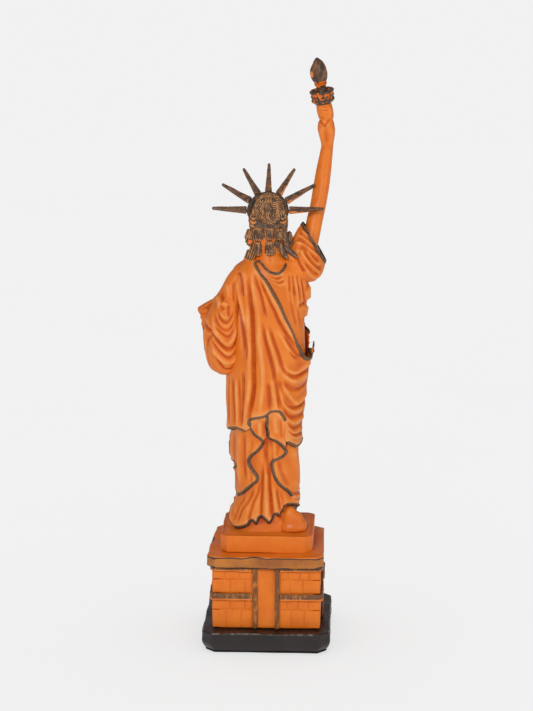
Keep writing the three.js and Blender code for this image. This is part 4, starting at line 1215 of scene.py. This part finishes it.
# %% Eggs and merging
def egg(name, centre, halves, height=None, rows=40, squareness=2.0):
    """An ellipsoid in millimetres, carved by height(points, directions)."""
    lift = np.linspace(-math.pi / 2, math.pi / 2, rows)[:, None]
    turn = np.linspace(-math.pi, math.pi, 2 * rows)[None, :]
    level, rise = power(np.cos(lift), squareness), power(np.sin(lift), squareness)
    unit = np.stack([level * np.sin(turn), level * np.cos(turn), rise + 0 * turn], axis=-1)
    facing = unit / np.linalg.norm(unit, axis=-1, keepdims=True)
    place = np.array(centre) + unit * np.array(halves)
    tone = np.zeros(place.shape[:2])
    if height:
        tone = height(place, facing)
        place = place + facing * tone[:, :, None]
    piece = grid_mesh(name, place)
    # Painted shade darkens the hollow places, and a painted highlight lightens the proud ones.
    paint_attribute(piece, "hollow", -tone.ravel() / 0.5)
    paint_attribute(piece, "proud", tone.ravel() / 0.3)
    return close_seams(piece, 60)


def merge(name, parts, voxel, relax=5):
    piece = join(name, parts)
    apply_modifier(piece, "REMESH", mode="VOXEL", voxel_size=voxel * MM)
    apply_modifier(piece, "SMOOTH", factor=0.6, iterations=relax)
    activate(piece)
    bpy.ops.object.shade_smooth()
    return piece


def finger(name, points, radius, rows=14):
    """A rounded tube through a few points."""
    line = smooth_line(points, 5)
    eggs = [egg(f"{name}_{k}", p, (radius,) * 3, rows=rows) for k, p in enumerate(line)]
    return join(name, eggs)

# %% Left hand
low, high = box_of("left_hand")
grip = [egg("palm", (40.4, -14.5, 204), (3.6, 4.2, 7.5))]
for k, z in enumerate((211.4, 207.3, 203.0, 198.8)):
    reach = (44.0, 44.2, 43.8, 42.4)[k]
    bend = [(40.5, -12.0, z + 0.8), (reach - 1.6, -13.4, z + 0.6), (reach - 1.2, -17.5, z),
            (reach - 3.6, -21.2, z - 0.6)]
    grip.append(finger(f"finger_{k}", bend, 2.0 - 0.12 * k))
left_hand = merge("left_hand_grip", grip, 0.35)
hand_over(left_hand, skin_paint, "orange_resin", "left_hand")

# %% [markdown]
# ## Raised arm and its sleeve
# The sleeve has slipped to the shoulder and opens upwards round the bare arm, with folds fanning out
# from the armpit. It is carved in a turned frame, so that its mouth is a level ring there.

# %% Folds fanning out on the right sleeve
FAN = [
    (0.8, 1.0, [(-16.5, 259.5), (-20, 259.5), (-23, 258), (-26, 255.8), (-29, 253), (-31.6, 250)]),
    (0.8, 1.0, [(-17.5, 264), (-20.6, 263.3), (-23.4, 261.5), (-26.6, 258.7), (-29.5, 256.3), (-34.25, 253)]),
    (0.8, 1.0, [(-20.3, 266.7), (-23, 265), (-26, 262.7), (-29, 259.2), (-32, 255.4)]),
    (0.6, 0.9, [(-21.2, 270), (-23.2, 268.2), (-26, 265), (-29, 261.8)]),
    (0.9, 1.1, [(-24.3, 255.2), (-25.5, 253.5), (-27.5, 250.2), (-30, 246.8), (-33, 244.4)]),
    (0.9, 1.1, [(-20, 255.5), (-22, 252.6), (-25, 248.2), (-27.8, 244.8), (-30.6, 241.8), (-33.2, 239.2)]),
    (0.8, 1.0, [(-17.2, 256.3), (-20, 253.5), (-22, 249), (-24.3, 244.2), (-27.8, 241), (-30.6, 238),
                (-34.25, 237)]),
    (-0.9, 0.9, [(-17, 261.6), (-20.4, 261.4), (-23.2, 259.8), (-26.4, 257.2), (-29.4, 254.8), (-32, 251.6)]),
    (-0.8, 0.8, [(-18.6, 265.4), (-21.6, 264.2), (-24.6, 262), (-27.8, 259), (-30.8, 255.8)]),
    (-0.7, 0.8, [(-21, 268.4), (-23.8, 266.4), (-26.6, 263.6), (-29.8, 259.8)]),
    (-1.1, 1.0, [(-20, 257.6), (-23.4, 256.6), (-26.6, 253.2), (-29.4, 249.8), (-32.6, 247)]),
    (-1.1, 1.0, [(-22.4, 255), (-25.2, 251), (-28, 247.6), (-31.2, 244.2), (-34, 241.8)]),
    (-1.0, 1.0, [(-18.4, 255.6), (-20.8, 251.4), (-23.2, 247), (-26, 243.4), (-29.2, 240.2), (-32, 238.2)]),
    (-1.0, 1.0, [(-15.6, 253), (-18.6, 250), (-20.8, 245.6), (-23.6, 241)]),
    (0.8, 1.1, [(-24, 243.3), (-26.6, 239), (-29, 236.6), (-29.5, 233.4)]),
]

# %% Right sleeve
CUFF_SLANT = 1.03
COS, SIN = math.cos(CUFF_SLANT), math.sin(CUFF_SLANT)
SLEEVE_SECTIONS = [(-12.5, -0.8, 240.5, 9, 8.6), (-17, -1.2, 243.4, 12, 10.4), (-21.6, -2.4, 247, 14.6, 10.8),
                   (-25.8, -4.2, 252.4, 15.9, 9.6), (-29, -6.4, 259.2, 14.4, 7.8)]


def turned(points):
    return [(x * COS + z * SIN, z * COS - x * SIN) for x, z in points]


sleeve_rows = []
for x, y, z, half_height, half_depth in SLEEVE_SECTIONS:
    (across, along), = turned([(x, z)])
    sleeve_rows.append((along, across, y, half_height, half_depth))


def carve_right_sleeve(relief):
    skin = relief.skin
    for height, width, points in FAN:
        relief.fold(skin.flat(turned(points)), height, width, fade=0.12)
    quarter = relief.round / 4
    relief.height *= 0.25 + 0.75 * soft_step(np.abs(np.abs(relief.u) - quarter), 0.5, 5.0)
    for k in range(7):
        z = 239 + 4.6 * k
        sweep = turned([(-15 - 0.6 * k, z + 6), (-21, z + 3.4), (-27, z - 1), (-32, z - 5)])
        relief.fold(front_run(skin, sweep), (-0.9, 0.9)[k % 2], 1.1, fade=0.3)
    rim = relief.z.max() - 0.7
    back = (relief.z > rim - 0.8) & (relief.z <= rim + 0.8)
    relief.height += 0.4 * np.exp(-(((relief.z - rim) / 0.8) ** 2)) * back
    relief.trim = np.maximum(relief.trim, 1.3 - np.abs(relief.z - rim) / 1.1)


right_sleeve = wind("right_sleeve_cloth", Skin(sleeve_rows, 2.0), sleeve_rows[0][0], sleeve_rows[-1][0], 0.4,
                    carve_right_sleeve, top=(0.96, 0.9, 0.8, 0.6, 0.3, 0.02), dome=(1.0, -7.0))
set_coordinates(right_sleeve, spin(coordinates(right_sleeve), 0, 2, CUFF_SLANT))
hand_over(right_sleeve, robe_paint, "orange_resin", "right_sleeve")

# %% Right arm
ARM = [(243, -22.5, -2, 5.2), (253, -25.2, -4.6, 5), (262, -27.2, -6.8, 5), (272, -28.9, -9.2, 5.2),
       (281, -30.9, -11.2, 5.1), (293, -32.9, -13.4, 5.1), (303, -34.3, -14.6, 4.8), (314, -35.9, -15, 4.1),
       (320, -36.6, -15, 3.8), (325, -36.3, -15, 4.9), (329, -35.9, -14.9, 5.5), (333, -35.7, -14.8, 5.1),
       (335.4, -35.8, -14.6, 4.2)]


def carve_arm(relief):
    skin = relief.skin
    relief.fold(skin.flat([(-33.6, 318), (-32.8, 325), (-32.6, 331)]), 0.5, 2.2)
    relief.fold(skin.flat([(-38.6, 318), (-39.6, 325), (-39.6, 331)]), 0.4, 2.2)
    relief.fold(skin.flat([(-35.8, 320), (-35.4, 327), (-35, 333)]), -0.35, 1.4)
    relief.fold(skin.flat([(-30.8, 336), (-32.8, 333.4), (-34.6, 332), (-36.8, 334.6), (-38.2, 338)]),
                -0.7, 0.8, fade=0)
    relief.fold(skin.flat([(-29, 282), (-30.6, 290), (-31.6, 300)]), -0.25, 1.8)


arm = wind("right_arm_limb", Skin([(z, x, y, r, r) for z, x, y, r in ARM]), 243, 335.4, 0.5, carve_arm)
hand_over(arm, skin_paint, "orange_resin", "right_arm")

# %% Right hand
FIST = [(335.7, -35.7, -14.3, 4.4, 4.2), (338, -35.5, -13.9, 5.0, 4.7), (341.5, -34.9, -13.3, 5.2, 4.9),
        (345.4, -34.3, -12.7, 4.9, 4.7)]


def carve_fist(relief):
    skin = relief.skin
    for z in (341.2, 343.4):
        relief.fold(skin.flat([(-32.2, z + 0.4), (-34.4, z), (-37, z + 0.5)]), -0.4, 0.4)
    relief.fold(skin.flat([(-31, 338), (-32.6, 336.6), (-34.6, 336)]), -0.6, 0.7)
    for z in (337.6, 339.8, 342, 344.2):
        relief.fold(front_run(skin, [(-31.4, z), (-34.4, z - 0.4), (-38, z)]), -0.5, 0.5, fade=0)
    relief.fold(skin.flat([(-37.2, 336), (-38.4, 340), (-38.2, 344)]), 0.5, 1.4)


fist = wind("right_hand_grip", Skin(FIST), 335.7, 345.4, 0.25, carve_fist)
hand_over(fist, skin_paint, "orange_resin", "right_hand")

# %% [markdown]
# ## Torch
# A plain handle in the fist, a two-tier balcony with dentils, a small cup and a bud-shaped flame.
# All are turned on one leaning axis, so they are carved upright and then tipped together.

# %% Turning helper
TORCH_FOOT, TORCH_LEAN = np.array([-35.7, -14.4, 335.4]), Vector((0.155, 0.17, 1)).normalized()
tip = np.array(Vector((0, 0, 1)).rotation_difference(TORCH_LEAN).to_matrix())


def turned_piece(name, profile, height=None, columns=160, smooth=4):
    """A lathed piece on the torch's axis: profile is (radius, along) from bottom to top."""
    line = smooth_line(profile, smooth)
    turn = np.linspace(-math.pi, math.pi, columns + 1)[None, :]
    radius, along = line[:, :1], line[:, 1:] + 0 * turn
    tone = height(turn + 0 * radius, along) if height else 0 * along
    swell = np.clip(radius, 0.01, None) + tone * (radius > 0.3)
    place = np.stack([swell * np.sin(turn), swell * np.cos(turn), along], axis=-1) @ tip.T + TORCH_FOOT
    piece = grid_mesh(name, place)
    # Painted shade darkens the hollow places, and a painted highlight lightens the proud ones.
    paint_attribute(piece, "hollow", -tone.ravel() / 0.5)
    paint_attribute(piece, "proud", tone.ravel() / 0.3)
    return piece

# %% Balcony
def balcony_relief(turn, along):
    teeth = 0.28 * np.sign(np.sin(14 * turn)) * np.exp(-(((along - 12.4) / 0.7) ** 4))
    arches = 0.3 * np.abs(np.sin(9 * turn + 0.6 * (along - 16))) * np.exp(-(((along - 17.2) / 1.1) ** 4))
    return teeth - arches


GALLERY = [(0.01, 10.7), (4.8, 10.7), (5.6, 11.2), (6.5, 12), (7.1, 12.8), (7.3, 13.5), (7.0, 14.3),
           (6.7, 14.7),
           (7.2, 15.3), (7.5, 15.9), (7.3, 16.5), (7.3, 17.4), (7.6, 18.1), (7.8, 18.7), (7.4, 19.4),
           (6.9, 19.5),
           (6, 19.2), (5.4, 18.5), (0.01, 18.3)]
gallery = turned_piece("torch_balcony", GALLERY, balcony_relief)
points = (coordinates(gallery) - TORCH_FOOT) @ tip
streaks = wobble(points * [1, 1, 0.3], 3.2, 0.9)[:, 0]
bands = np.exp(-(((points[:, 2] - 17.2) / 0.8) ** 2)) + 0.9 * np.exp(-(((points[:, 2] - 14.8) / 0.5) ** 2))
paint_attribute(gallery, "bare", 0.75 * bands + streaks)
close_seams(gallery, 50)
hand_over(gallery, crown_paint, "bronze_accent", "torch_gallery")
handle = turned_piece("torch_grip", [(0.01, 1.2), (2.4, 1.2), (2.9, 4), (3.6, 8), (4.6, 10.4), (0.01, 10.4)])
close_seams(handle, 50)
hand_over(handle, skin_paint, "orange_resin", "torch_handle")
cup = turned_piece("torch_bowl", [(0.01, 18.5), (3.3, 18.5), (3.1, 19.6), (2.9, 21), (3.3, 22),
                                  (3.7, 22.7), (3.8, 23.8),
                                  (0.01, 23.8)])
points = (coordinates(cup) - TORCH_FOOT) @ tip
paint_attribute(cup, "bare", soft_step(points[:, 2] + wobble(points, 4.0, 1.5)[:, 0], 22.0, 22.8))
close_seams(cup, 50)
hand_over(cup, crown_paint, "bronze_accent", "torch_cup")

# %% Flame
def flame_relief(turn, along):
    swirl = turn + 0.11 * (along - 24)
    waist = np.clip((along - 25) / 4, 0, 1) * np.clip((40.4 - along) / 3, 0, 1)
    return waist * (0.35 * np.cos(3 * swirl) + 0.18 * np.cos(7 * swirl + 1.0))


flame = turned_piece("torch_bud", [(0.01, 24.0), (3.3, 24.1), (4.2, 25.4), (4.9, 27), (5.4, 30), (4.8, 33.4),
                                   (3.2, 36.8), (1.4, 39.2), (0.01, 40.4)], flame_relief, smooth=8)
points = (coordinates(flame) - TORCH_FOOT) @ tip
patch = np.exp(-(((points[:, 0] - 4.4) / 1.3) ** 2) - ((points[:, 2] - 30.5) / 2.6) ** 2) * (points[:, 1] > 0)
foot = 1 - soft_step(points[:, 2] + wobble(points, 3.5, 1.2)[:, 0], 24.6, 26.0)
paint_attribute(flame, "bare", np.maximum(0.9 * patch, foot))
close_seams(flame, 50)
hand_over(flame, crown_paint, "bronze_accent", "torch_flame")

# %% [markdown]
# ## Head and neck
# The face is a plain classical one of no person: eyes half way down the head, the nose a third of
# the face long, and a closed, level mouth. The neck is a smooth column set into the collar.

# %% Neck
NECK = [(240, -2, 0.4, 5, 5), (243.5, -2.4, 1, 9.6, 8), (247, -2.2, 1.2, 11, 8.9), (250, -1.5, 0.9, 10.6, 8),
        (254, -0.4, 0.4, 9, 6.6), (260, -0.2, 0, 6.6, 6), (266, 0.4, -0.4, 5.2, 5.8)]


def carve_neck(relief):
    relief.fold(relief.skin.flat([(-2, 246), (-1.4, 252), (-0.6, 258)]), -0.25, 1.2)
    relief.fold(relief.skin.flat([(-4.2, 246), (-2.6, 254), (-0.4, 262)], True), 0.35, 0.9)
    relief.fold(relief.skin.flat([(1.4, 246), (1.6, 254), (0.8, 262)], True), 0.35, 0.9)


neck = wind("neck_column", Skin(NECK), 240, 266, 0.4, carve_neck)
hand_over(neck, skin_paint, "orange_resin", "neck")

# %% Face
low, high = box_of("head")
head_centre, head_halves = (low + high) / 2, (high - low) / 2
FACE_HEIGHT = 2 * head_halves[2]


def bump(x, z, at_x, at_z, wide, tall, size):
    return size * np.exp(-(((x - at_x) / wide) ** 2) - ((z - at_z) / tall) ** 2)


def face_relief(place, facing):
    x = place[..., 0] - head_centre[0]
    z = (place[..., 2] - low[2]) / FACE_HEIGHT * 24
    front = soft_step(-facing[..., 1], 0.15, 0.6)
    lift = np.zeros_like(x)
    for side in (-1, 1):
        lift += bump(x, z, side * 2.9, 12.4, 1.9, 1.25, -0.85)
        lift += bump(x, z, side * 2.9, 12.2, 1.25, 0.72, 0.75)
        lift += bump(x, z, side * 2.9, 12.95, 1.5, 0.22, 0.22)
        lift += bump(x, z, side * 2.9, 11.5, 1.4, 0.2, 0.16)
        lift += bump(x, z, side * 3.0, 14.4, 2.4, 0.55, 0.45)
        lift += bump(x, z, side * 4.3, 9.0, 1.9, 2.0, 0.45)
        lift += bump(x, z, side * 1.15, 8.6, 0.6, 0.5, 0.55)
        lift += bump(x, z, side * 1.0, 7.0, 0.5, 0.8, 0.1)
        lift += bump(x, z, side * 2.5, 5.9, 0.5, 0.5, -0.25)
    slope = np.clip((14.2 - z) / 5.6, 0, 1) * (z > 8.0) + soft_step(z, 7.4, 8.0) * (z <= 8.0)
    lift += (0.55 + 1.45 * slope) * np.exp(-((x / (0.62 + 0.3 * slope)) ** 2)) * (z < 15) * (z > 7.4)
    lift += bump(x, z, 0, 6.5, 1.9, 0.42, 0.5)
    lift += bump(x, z, 0, 5.3, 1.6, 0.5, 0.55)
    lift += bump(x, z, 0, 5.92, 2.0, 0.16, -0.4)
    lift += bump(x, z, 0, 4.3, 1.5, 0.4, -0.3)
    lift += bump(x, z, 0, 2.6, 1.9, 1.3, 0.75)
    return lift * front


head = egg("head_form", head_centre, head_halves, face_relief, rows=150)
hand_over(head, skin_paint, "orange_resin", "head")

# %% [markdown]
# ## Hair
# The hair is combed back from the crown in fine strands, rolled over each ear, and falls at the nape
# in two rows of barrel curls, with a lock on each shoulder. Bronze covers the high places and misses
# the gaps between curls, where the orange shows.

# %% Dome of hair
def strands(place, facing):
    x, z = place[..., 0], place[..., 2]
    wave = wobble(place.reshape(-1, 3), 6.0, 0.8).reshape(place.shape)
    combed = np.sin(2 * math.pi * ((0.84 * x + 0.54 * z) / 1.2 + 0.5 * wave[..., 0]))
    whorl = np.sin(2 * math.pi * (np.hypot(x + 3.2, 1.1 * (z - 277.6)) / 1.2 + 0.5 * wave[..., 1]))
    share = soft_step(x + 0.4 * (z - 278) + wave[..., 2], -1.5, 2.5)
    sideways = np.sin(2 * math.pi * ((z - 0.5 * place[..., 1]) / 1.25 + 0.5 * wave[..., 1]))
    pattern = share * combed + (1 - share) * whorl
    back = soft_step(facing[..., 1], -0.1, 0.3)
    pattern = back * pattern + (1 - back) * sideways
    return 0.30 * pattern + 0.25 * wave[..., 0]


dome = egg("hair_dome", (-0.3, 2.2, 280.2), (9.5, 8.9, 10.4), strands, rows=110)
tufts = [dome]
for side in (-1, 1):
    roll = egg(f"hair_roll_{side + 1}", (side * 9.2, 0.8, 272.2), (2.9, 5.2, 8.2),
               lambda p, f: 0.4 * np.sin(2 * math.pi * (p[..., 2] + 0.7 * p[..., 1]) / 2.6), rows=60)
    tufts.append(roll)
    tufts.append(egg(f"hair_band_{side + 1}", (side * 6.6, -5.4, 277.5), (2.4, 3.6, 6.0),
                     lambda p, f: 0.35 * np.sin(2 * math.pi * (p[..., 2] * 0.8 - 0.6 * p[..., 0]) / 1.9),
                     rows=50))
hair = join("hair_form", tufts)
points = coordinates(hair)
gaps = np.clip(1 - np.abs(points[:, 2] - 270.6 - 0.02 * points[:, 0] ** 2) / 1.3, 0, 1) * (points[:, 1] > 3)
paint_attribute(hair, "bare", 0.8 * gaps)
hand_over(hair, hair_paint, "bronze_accent", "hair_cap")

# %% Curls at the nape
def barrel(name, x, z, half_width, half_height, twist=0.0, y=7.0, depth=3.1):
    """A curl wound like a barrel, with strands down it and a rolled rim at each end."""

    def wound(place, facing):
        across = (place[..., 0] - x) / half_width + twist * (place[..., 2] - z) / half_height
        rise = (place[..., 2] - z) / half_height
        lines = 0.22 * np.sin(2 * math.pi * across * half_width / 1.05 + 1.0)
        return lines + 0.3 * np.exp(-(((np.abs(rise) - 0.78) / 0.14) ** 2)) - 0.12

    return egg(name, (x, y, z), (half_width, depth, half_height), wound, rows=56, squareness=2.8)


CURLS = [(5.9, 265.4, 3.3, 4.5, 1.1), (-0.9, 265.6, 3.5, 4.2, 0.1), (-7.0, 265.4, 2.7, 4.0, -0.1),
         (6.4, 256.2, 2.6, 4.7, 0.6), (-1.4, 256.4, 3.6, 4.9, 0.05)]
nape = egg("nape_mass", (0.6, 4.2, 260.6), (11.2, 3.6, 11.0), rows=50, squareness=2.6)
paint_attribute(nape, "bare", np.ones(len(nape.data.vertices)))
curls = [nape]
for k, (x, z, half_width, half_height, twist) in enumerate(CURLS):
    curl = barrel(f"curl_{k}", x, z, half_width, half_height, twist)
    points = coordinates(curl)
    low_side = (z - points[:, 2]) / half_height * (0.6 if k in (0, 3) else 0.1)
    paint_attribute(curl, "bare", 0.5 * (points[:, 1] < 7.2) + np.clip(low_side, 0, 1))
    curls.append(curl)


def rope(name, points, radius, turns):
    """A twisted lock: two strands wound round each other along a curve."""
    line = smooth_line(points, 12)
    beads = []
    for strand in (0, math.pi):
        for k, centre in enumerate(line):
            angle = strand + turns * 2 * math.pi * k / len(line)
            away = np.array([math.cos(angle), 0.6 * math.sin(angle), 0]) * radius * 0.5
            size = radius * (0.72 - 0.25 * (k / len(line)) ** 2)
            beads.append(egg(f"{name}_{strand:.0f}_{k}", centre + away, (size, size, size * 1.25), rows=12))
    return merge(name, beads, 0.3, 2)


twist_left = rope("curl_twist", [(-6.4, 8.4, 260), (-8.6, 8.6, 255.6), (-11.4, 8.2, 251)], 1.9, 2.0)
twist_right = rope("curl_side", [(-9.6, 5.4, 271), (-10.6, 6.2, 264), (-12.2, 6.8, 257)], 1.9, 2.5)
curls.extend([twist_left, twist_right])
nape_curls = join("nape_curl_group", curls)
hand_over(nape_curls, hair_paint, "bronze_accent", "nape_curls")

# %% Shoulder locks
def combed_lock(place, facing):
    return 0.3 * np.sin(2 * math.pi * (place[..., 0] + 0.35 * place[..., 2]) / 1.5)


LEFT_LOCK = [(11.4, 262.8, 3.4, 5.8), (10.2, 253.2, 2.2, 5.8), (11.6, 251.0, 2.6, 4.6),
             (13.2, 249.2, 2.6, 3.0)]
pieces = [egg(f"left_lock_{k}", (x, 4.4, z), (w, 3.4, h), combed_lock, rows=46) for k, (x, z, w, h) in
          enumerate(LEFT_LOCK)]
pieces.append(egg("left_lock_end", (11.4, 7.2, 260.4), (2.2, 1.4, 2.3), rows=24))
left_lock = join("left_lock_hair", pieces)
points = coordinates(left_lock)
tip_shows = 1 - soft_step(points[:, 2] + wobble(points, 4.0, 1.8)[:, 0], 248.6, 249.8)
button = np.exp(-((np.hypot(points[:, 0] - 11.4, points[:, 2] - 260.4) / 1.7) ** 4)) * (points[:, 1] > 7.4)
paint_attribute(left_lock, "bare", np.maximum(tip_shows, 0.8 * button))
hand_over(left_lock, hair_paint, "bronze_accent", "left_lock")

LEAF = [(-10.2, 5.6, 258, 2.0), (-12.6, 7.2, 255.4, 2.2), (-15.4, 8.0, 253.4, 2.0), (-18.2, 8.2, 251.4, 1.0)]
leaf = [egg(f"leaf_{k}", p[:3], (p[3], 1.5, p[3] * 0.9), rows=20) for k, p in enumerate(smooth_line(LEAF, 5))]
LOWER_LEAF = [(-11.6, 6.8, 254, 1.5), (-14.6, 7.6, 250.4, 2.0), (-17.0, 7.8, 247.4, 1.2)]
lower_leaf = [egg(f"under_{k}", p[:3], (p[3], 1.3, p[3]), rows=20) for k,
              p in enumerate(smooth_line(LOWER_LEAF, 5))]
root = [egg("lock_root", (-13.2, 2.4, 260.5), (2.4, 2.6, 6.4), combed_lock, rows=40)]
right_lock = merge("right_lock_hair", [*leaf, *lower_leaf, *root], 0.28, 3)
points = coordinates(right_lock)
line = 256.6 + 0.62 * (points[:, 0] + 10.0)
paint_attribute(right_lock, "bare", soft_step(line - points[:, 2], 1.4, 2.4) * (points[:, 1] > 3))
hand_over(right_lock, hair_paint, "bronze_accent", "right_lock")

# %% [markdown]
# ## Crown
# A tilted band with seven blunt rays. Small webs of resin fill the corners at the foot of the rays,
# and the brush has left the undersides of some rays orange.

# %% Crown band
band = cast_block("crown_band_ring", "crown_band", 0.5, 0.3, 8.0, 0.15)
CROWN_CENTRE = np.array([0.4, 0.5, 279.0])
ring = coordinates(band)
outward = np.linalg.svd(ring - ring.mean(0), full_matrices=False)[2][2]
reach = np.linalg.norm(ring - CROWN_CENTRE, axis=1).max()


def rim_webs(place, facing):
    turn = np.arctan2(place[..., 2], place[..., 0])
    at_rim = soft_step(np.hypot(place[..., 0], place[..., 2]), 0.8 * reach, reach)
    return at_rim * 1.4 * np.exp((np.cos(12 * turn) - 1) / 0.6)


cushion = egg("crown_cushion", (0, 0, 0), (reach - 0.6, 1.5, reach - 0.6), rim_webs, rows=90)
tilt_normal = outward * np.sign(outward[1])
tilt_up = np.cross([1, 0, 0], tilt_normal)
tilt_up *= np.sign(tilt_up[2])
print("Crown plane faces", tilt_normal.round(2), "reach", round(float(reach), 1))
points = coordinates(cushion)
set_coordinates(cushion, CROWN_CENTRE + points @ np.array([[1, 0, 0], tilt_normal, tilt_up]))
band = join("crown_band_ring", [band, cushion])
hand_over(band, crown_paint, "bronze_accent", "crown_band")

# %% Crown rays
RAY_HUB = np.array([0.4, 281])  # x and z that the rays fan out from
for k in range(1, 8):
    node = f"crown_ray_{k}"
    ray = cast_block(f"{node}_spike", node, 0.35, 0.25, 9.0, 0.12, 2)
    points = coordinates(ray)
    streak = wobble(points, 2.6, 0.6)[:, 0]
    offset = points[:, [0, 2]] - RAY_HUB
    direction = offset.mean(0) / np.linalg.norm(offset.mean(0))
    across = offset[:, 0] * direction[1] - offset[:, 1] * direction[0]
    below = np.sign(direction[0]) * across if abs(direction[0]) > 0.3 else -across
    edge = soft_step(below, 0.6, 1.5)
    paint_attribute(ray, "bare", (0.75 if k >= 5 else 0.3) * edge + 0.4 * streak)
    paint_attribute(ray, "proud", 0.5 + streak)
    hand_over(ray, crown_paint, "bronze_accent", node)

# %% [markdown]
# ## Feet
# The right heel shows below the hem at the back, raised in mid stride. The left toes show in front.

# %% Feet
STEP_TOP = 74.2
HEEL = [((-14.6, 13.4, 79.2), (5.6, 4.8, 10.4)), ((-15.6, 13.8, 75.4), (8.6, 5.8, 5.4)),
        ((-18.4, 12.6, 78.4), (5.2, 5.0, 8.0)), ((-21.4, 12.4, 75.8), (4.0, 5.2, 6.0))]
heel = merge("right_foot_form", [egg(f"heel_{k}", c, h, rows=30) for k, (c, h) in enumerate(HEEL)], 0.4, 14)
points = coordinates(heel)
points[:, 2] = np.maximum(points[:, 2], STEP_TOP)
set_coordinates(heel, points)
hand_over(heel, skin_paint, "orange_resin", "right_foot")
toes = [egg("instep", (9.0, -19.6, 77.0), (4.3, 4.6, 2.9), rows=30)]
for k, (x, size) in enumerate(((6.6, 1.5), (8.6, 1.2), (10.2, 1.1), (11.7, 1.0), (12.9, 0.9))):
    toes.append(egg(f"toe_{k}", (x, -22.8 + 0.35 * k, 75.6), (size, 1.7, size), rows=20))
left_foot = merge("left_foot_form", toes, 0.3, 2)
points = coordinates(left_foot)
points[:, 2] = np.maximum(points[:, 2], STEP_TOP)
set_coordinates(left_foot, points)
hand_over(left_foot, skin_paint, "orange_resin", "left_foot")

# %% [markdown]
# ## Floor and light
# A plain pale floor. Two soft panels light the model alone, a wide overhead sun lights the floor alone,
# and a pale world fills the shadows. So each can be set without changing the other.

# %% Floor, lights and world
deselect()
bpy.ops.mesh.primitive_plane_add(size=6, location=(0, 0, 0))
floor = bpy.context.object
floor.name = "floor"
paper = bpy.data.materials.new("paper")
paper.use_nodes = True
shader = paper.node_tree.nodes["Principled BSDF"]
tint = use(paper.node_tree, mottle, Light=rgb(150, 150, 150), Dark=rgb(146, 146, 146), Scale=3.0,
           Contrast=1.0)
paper.node_tree.links.new(tint, shader.inputs["Base Color"])
shader.inputs["Roughness"].default_value = 0.9
shader.inputs["Specular IOR Level"].default_value = 0.0
shader.inputs["Emission Color"].default_value = (1, 1, 1, 1)
shader.inputs["Emission Strength"].default_value = 0.62
floor.data.materials.append(paper)
floor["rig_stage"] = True


def panel(name, place, size, power):
    light = bpy.data.objects.new(name, bpy.data.lights.new(name, "AREA"))
    light.data.shape = "RECTANGLE"
    light.data.size, light.data.size_y = size
    light.data.energy = power
    light.location = place
    light.rotation_euler = (Vector((0, 0, 0.17)) - Vector(place)).to_track_quat("-Z", "Y").to_euler()
    bpy.context.scene.collection.objects.link(light)
    light.light_linking.receiver_collection = lit_by_panels


paper_only = bpy.data.collections.new("paper_only")
lit_by_panels = bpy.data.collections.new("lit_by_panels")
paper_only.objects.link(floor)
for thing in bpy.context.scene.objects:
    if thing.type == "MESH" and thing != floor:
        lit_by_panels.objects.link(thing)
panel("key_panel", (0.3, 1.25, 0.95), (0.5, 0.5), 11.5)
panel("fill_panel", (-1.1, 0.9, 0.5), (0.5, 0.9), 4.5)
overhead = bpy.data.objects.new("overhead", bpy.data.lights.new("overhead", "SUN"))
overhead.data.energy = 1.8
overhead.data.angle = math.radians(110)
bpy.context.scene.collection.objects.link(overhead)
overhead.light_linking.receiver_collection = paper_only
world = bpy.data.worlds.new("studio")
world.use_nodes = True
tree = world.node_tree
seen = put(tree, "ShaderNodeLightPath").outputs["Is Camera Ray"]
lift = put(tree, "ShaderNodeMapRange", {0: seen, 1: 0.0, 2: 1.0, 3: 0.31, 4: 0.88}).outputs[0]
tree.links.new(lift, tree.nodes["Background"].inputs["Strength"])
tree.nodes["Background"].inputs["Color"].default_value = (1, 1, 1, 1)
bpy.context.scene.world = world

# %% Paint for the CAD parts that stay
for node, thing in frame["nodes"].items():
    if not thing.hide_render:
        thing.data.materials.clear()
        thing.data.materials.append(steel if "dowel" in node or "pin" in node else robe_paint)

# %% Sizes, and the end
deselect()
low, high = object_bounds()
sizes = {"cad": [list(cad_low), list(cad_high)], "visual": [list(low), list(high)]}
print("Visual box, mm:", [round(1000 * (h - l), 1) for l, h in zip(low, high)])
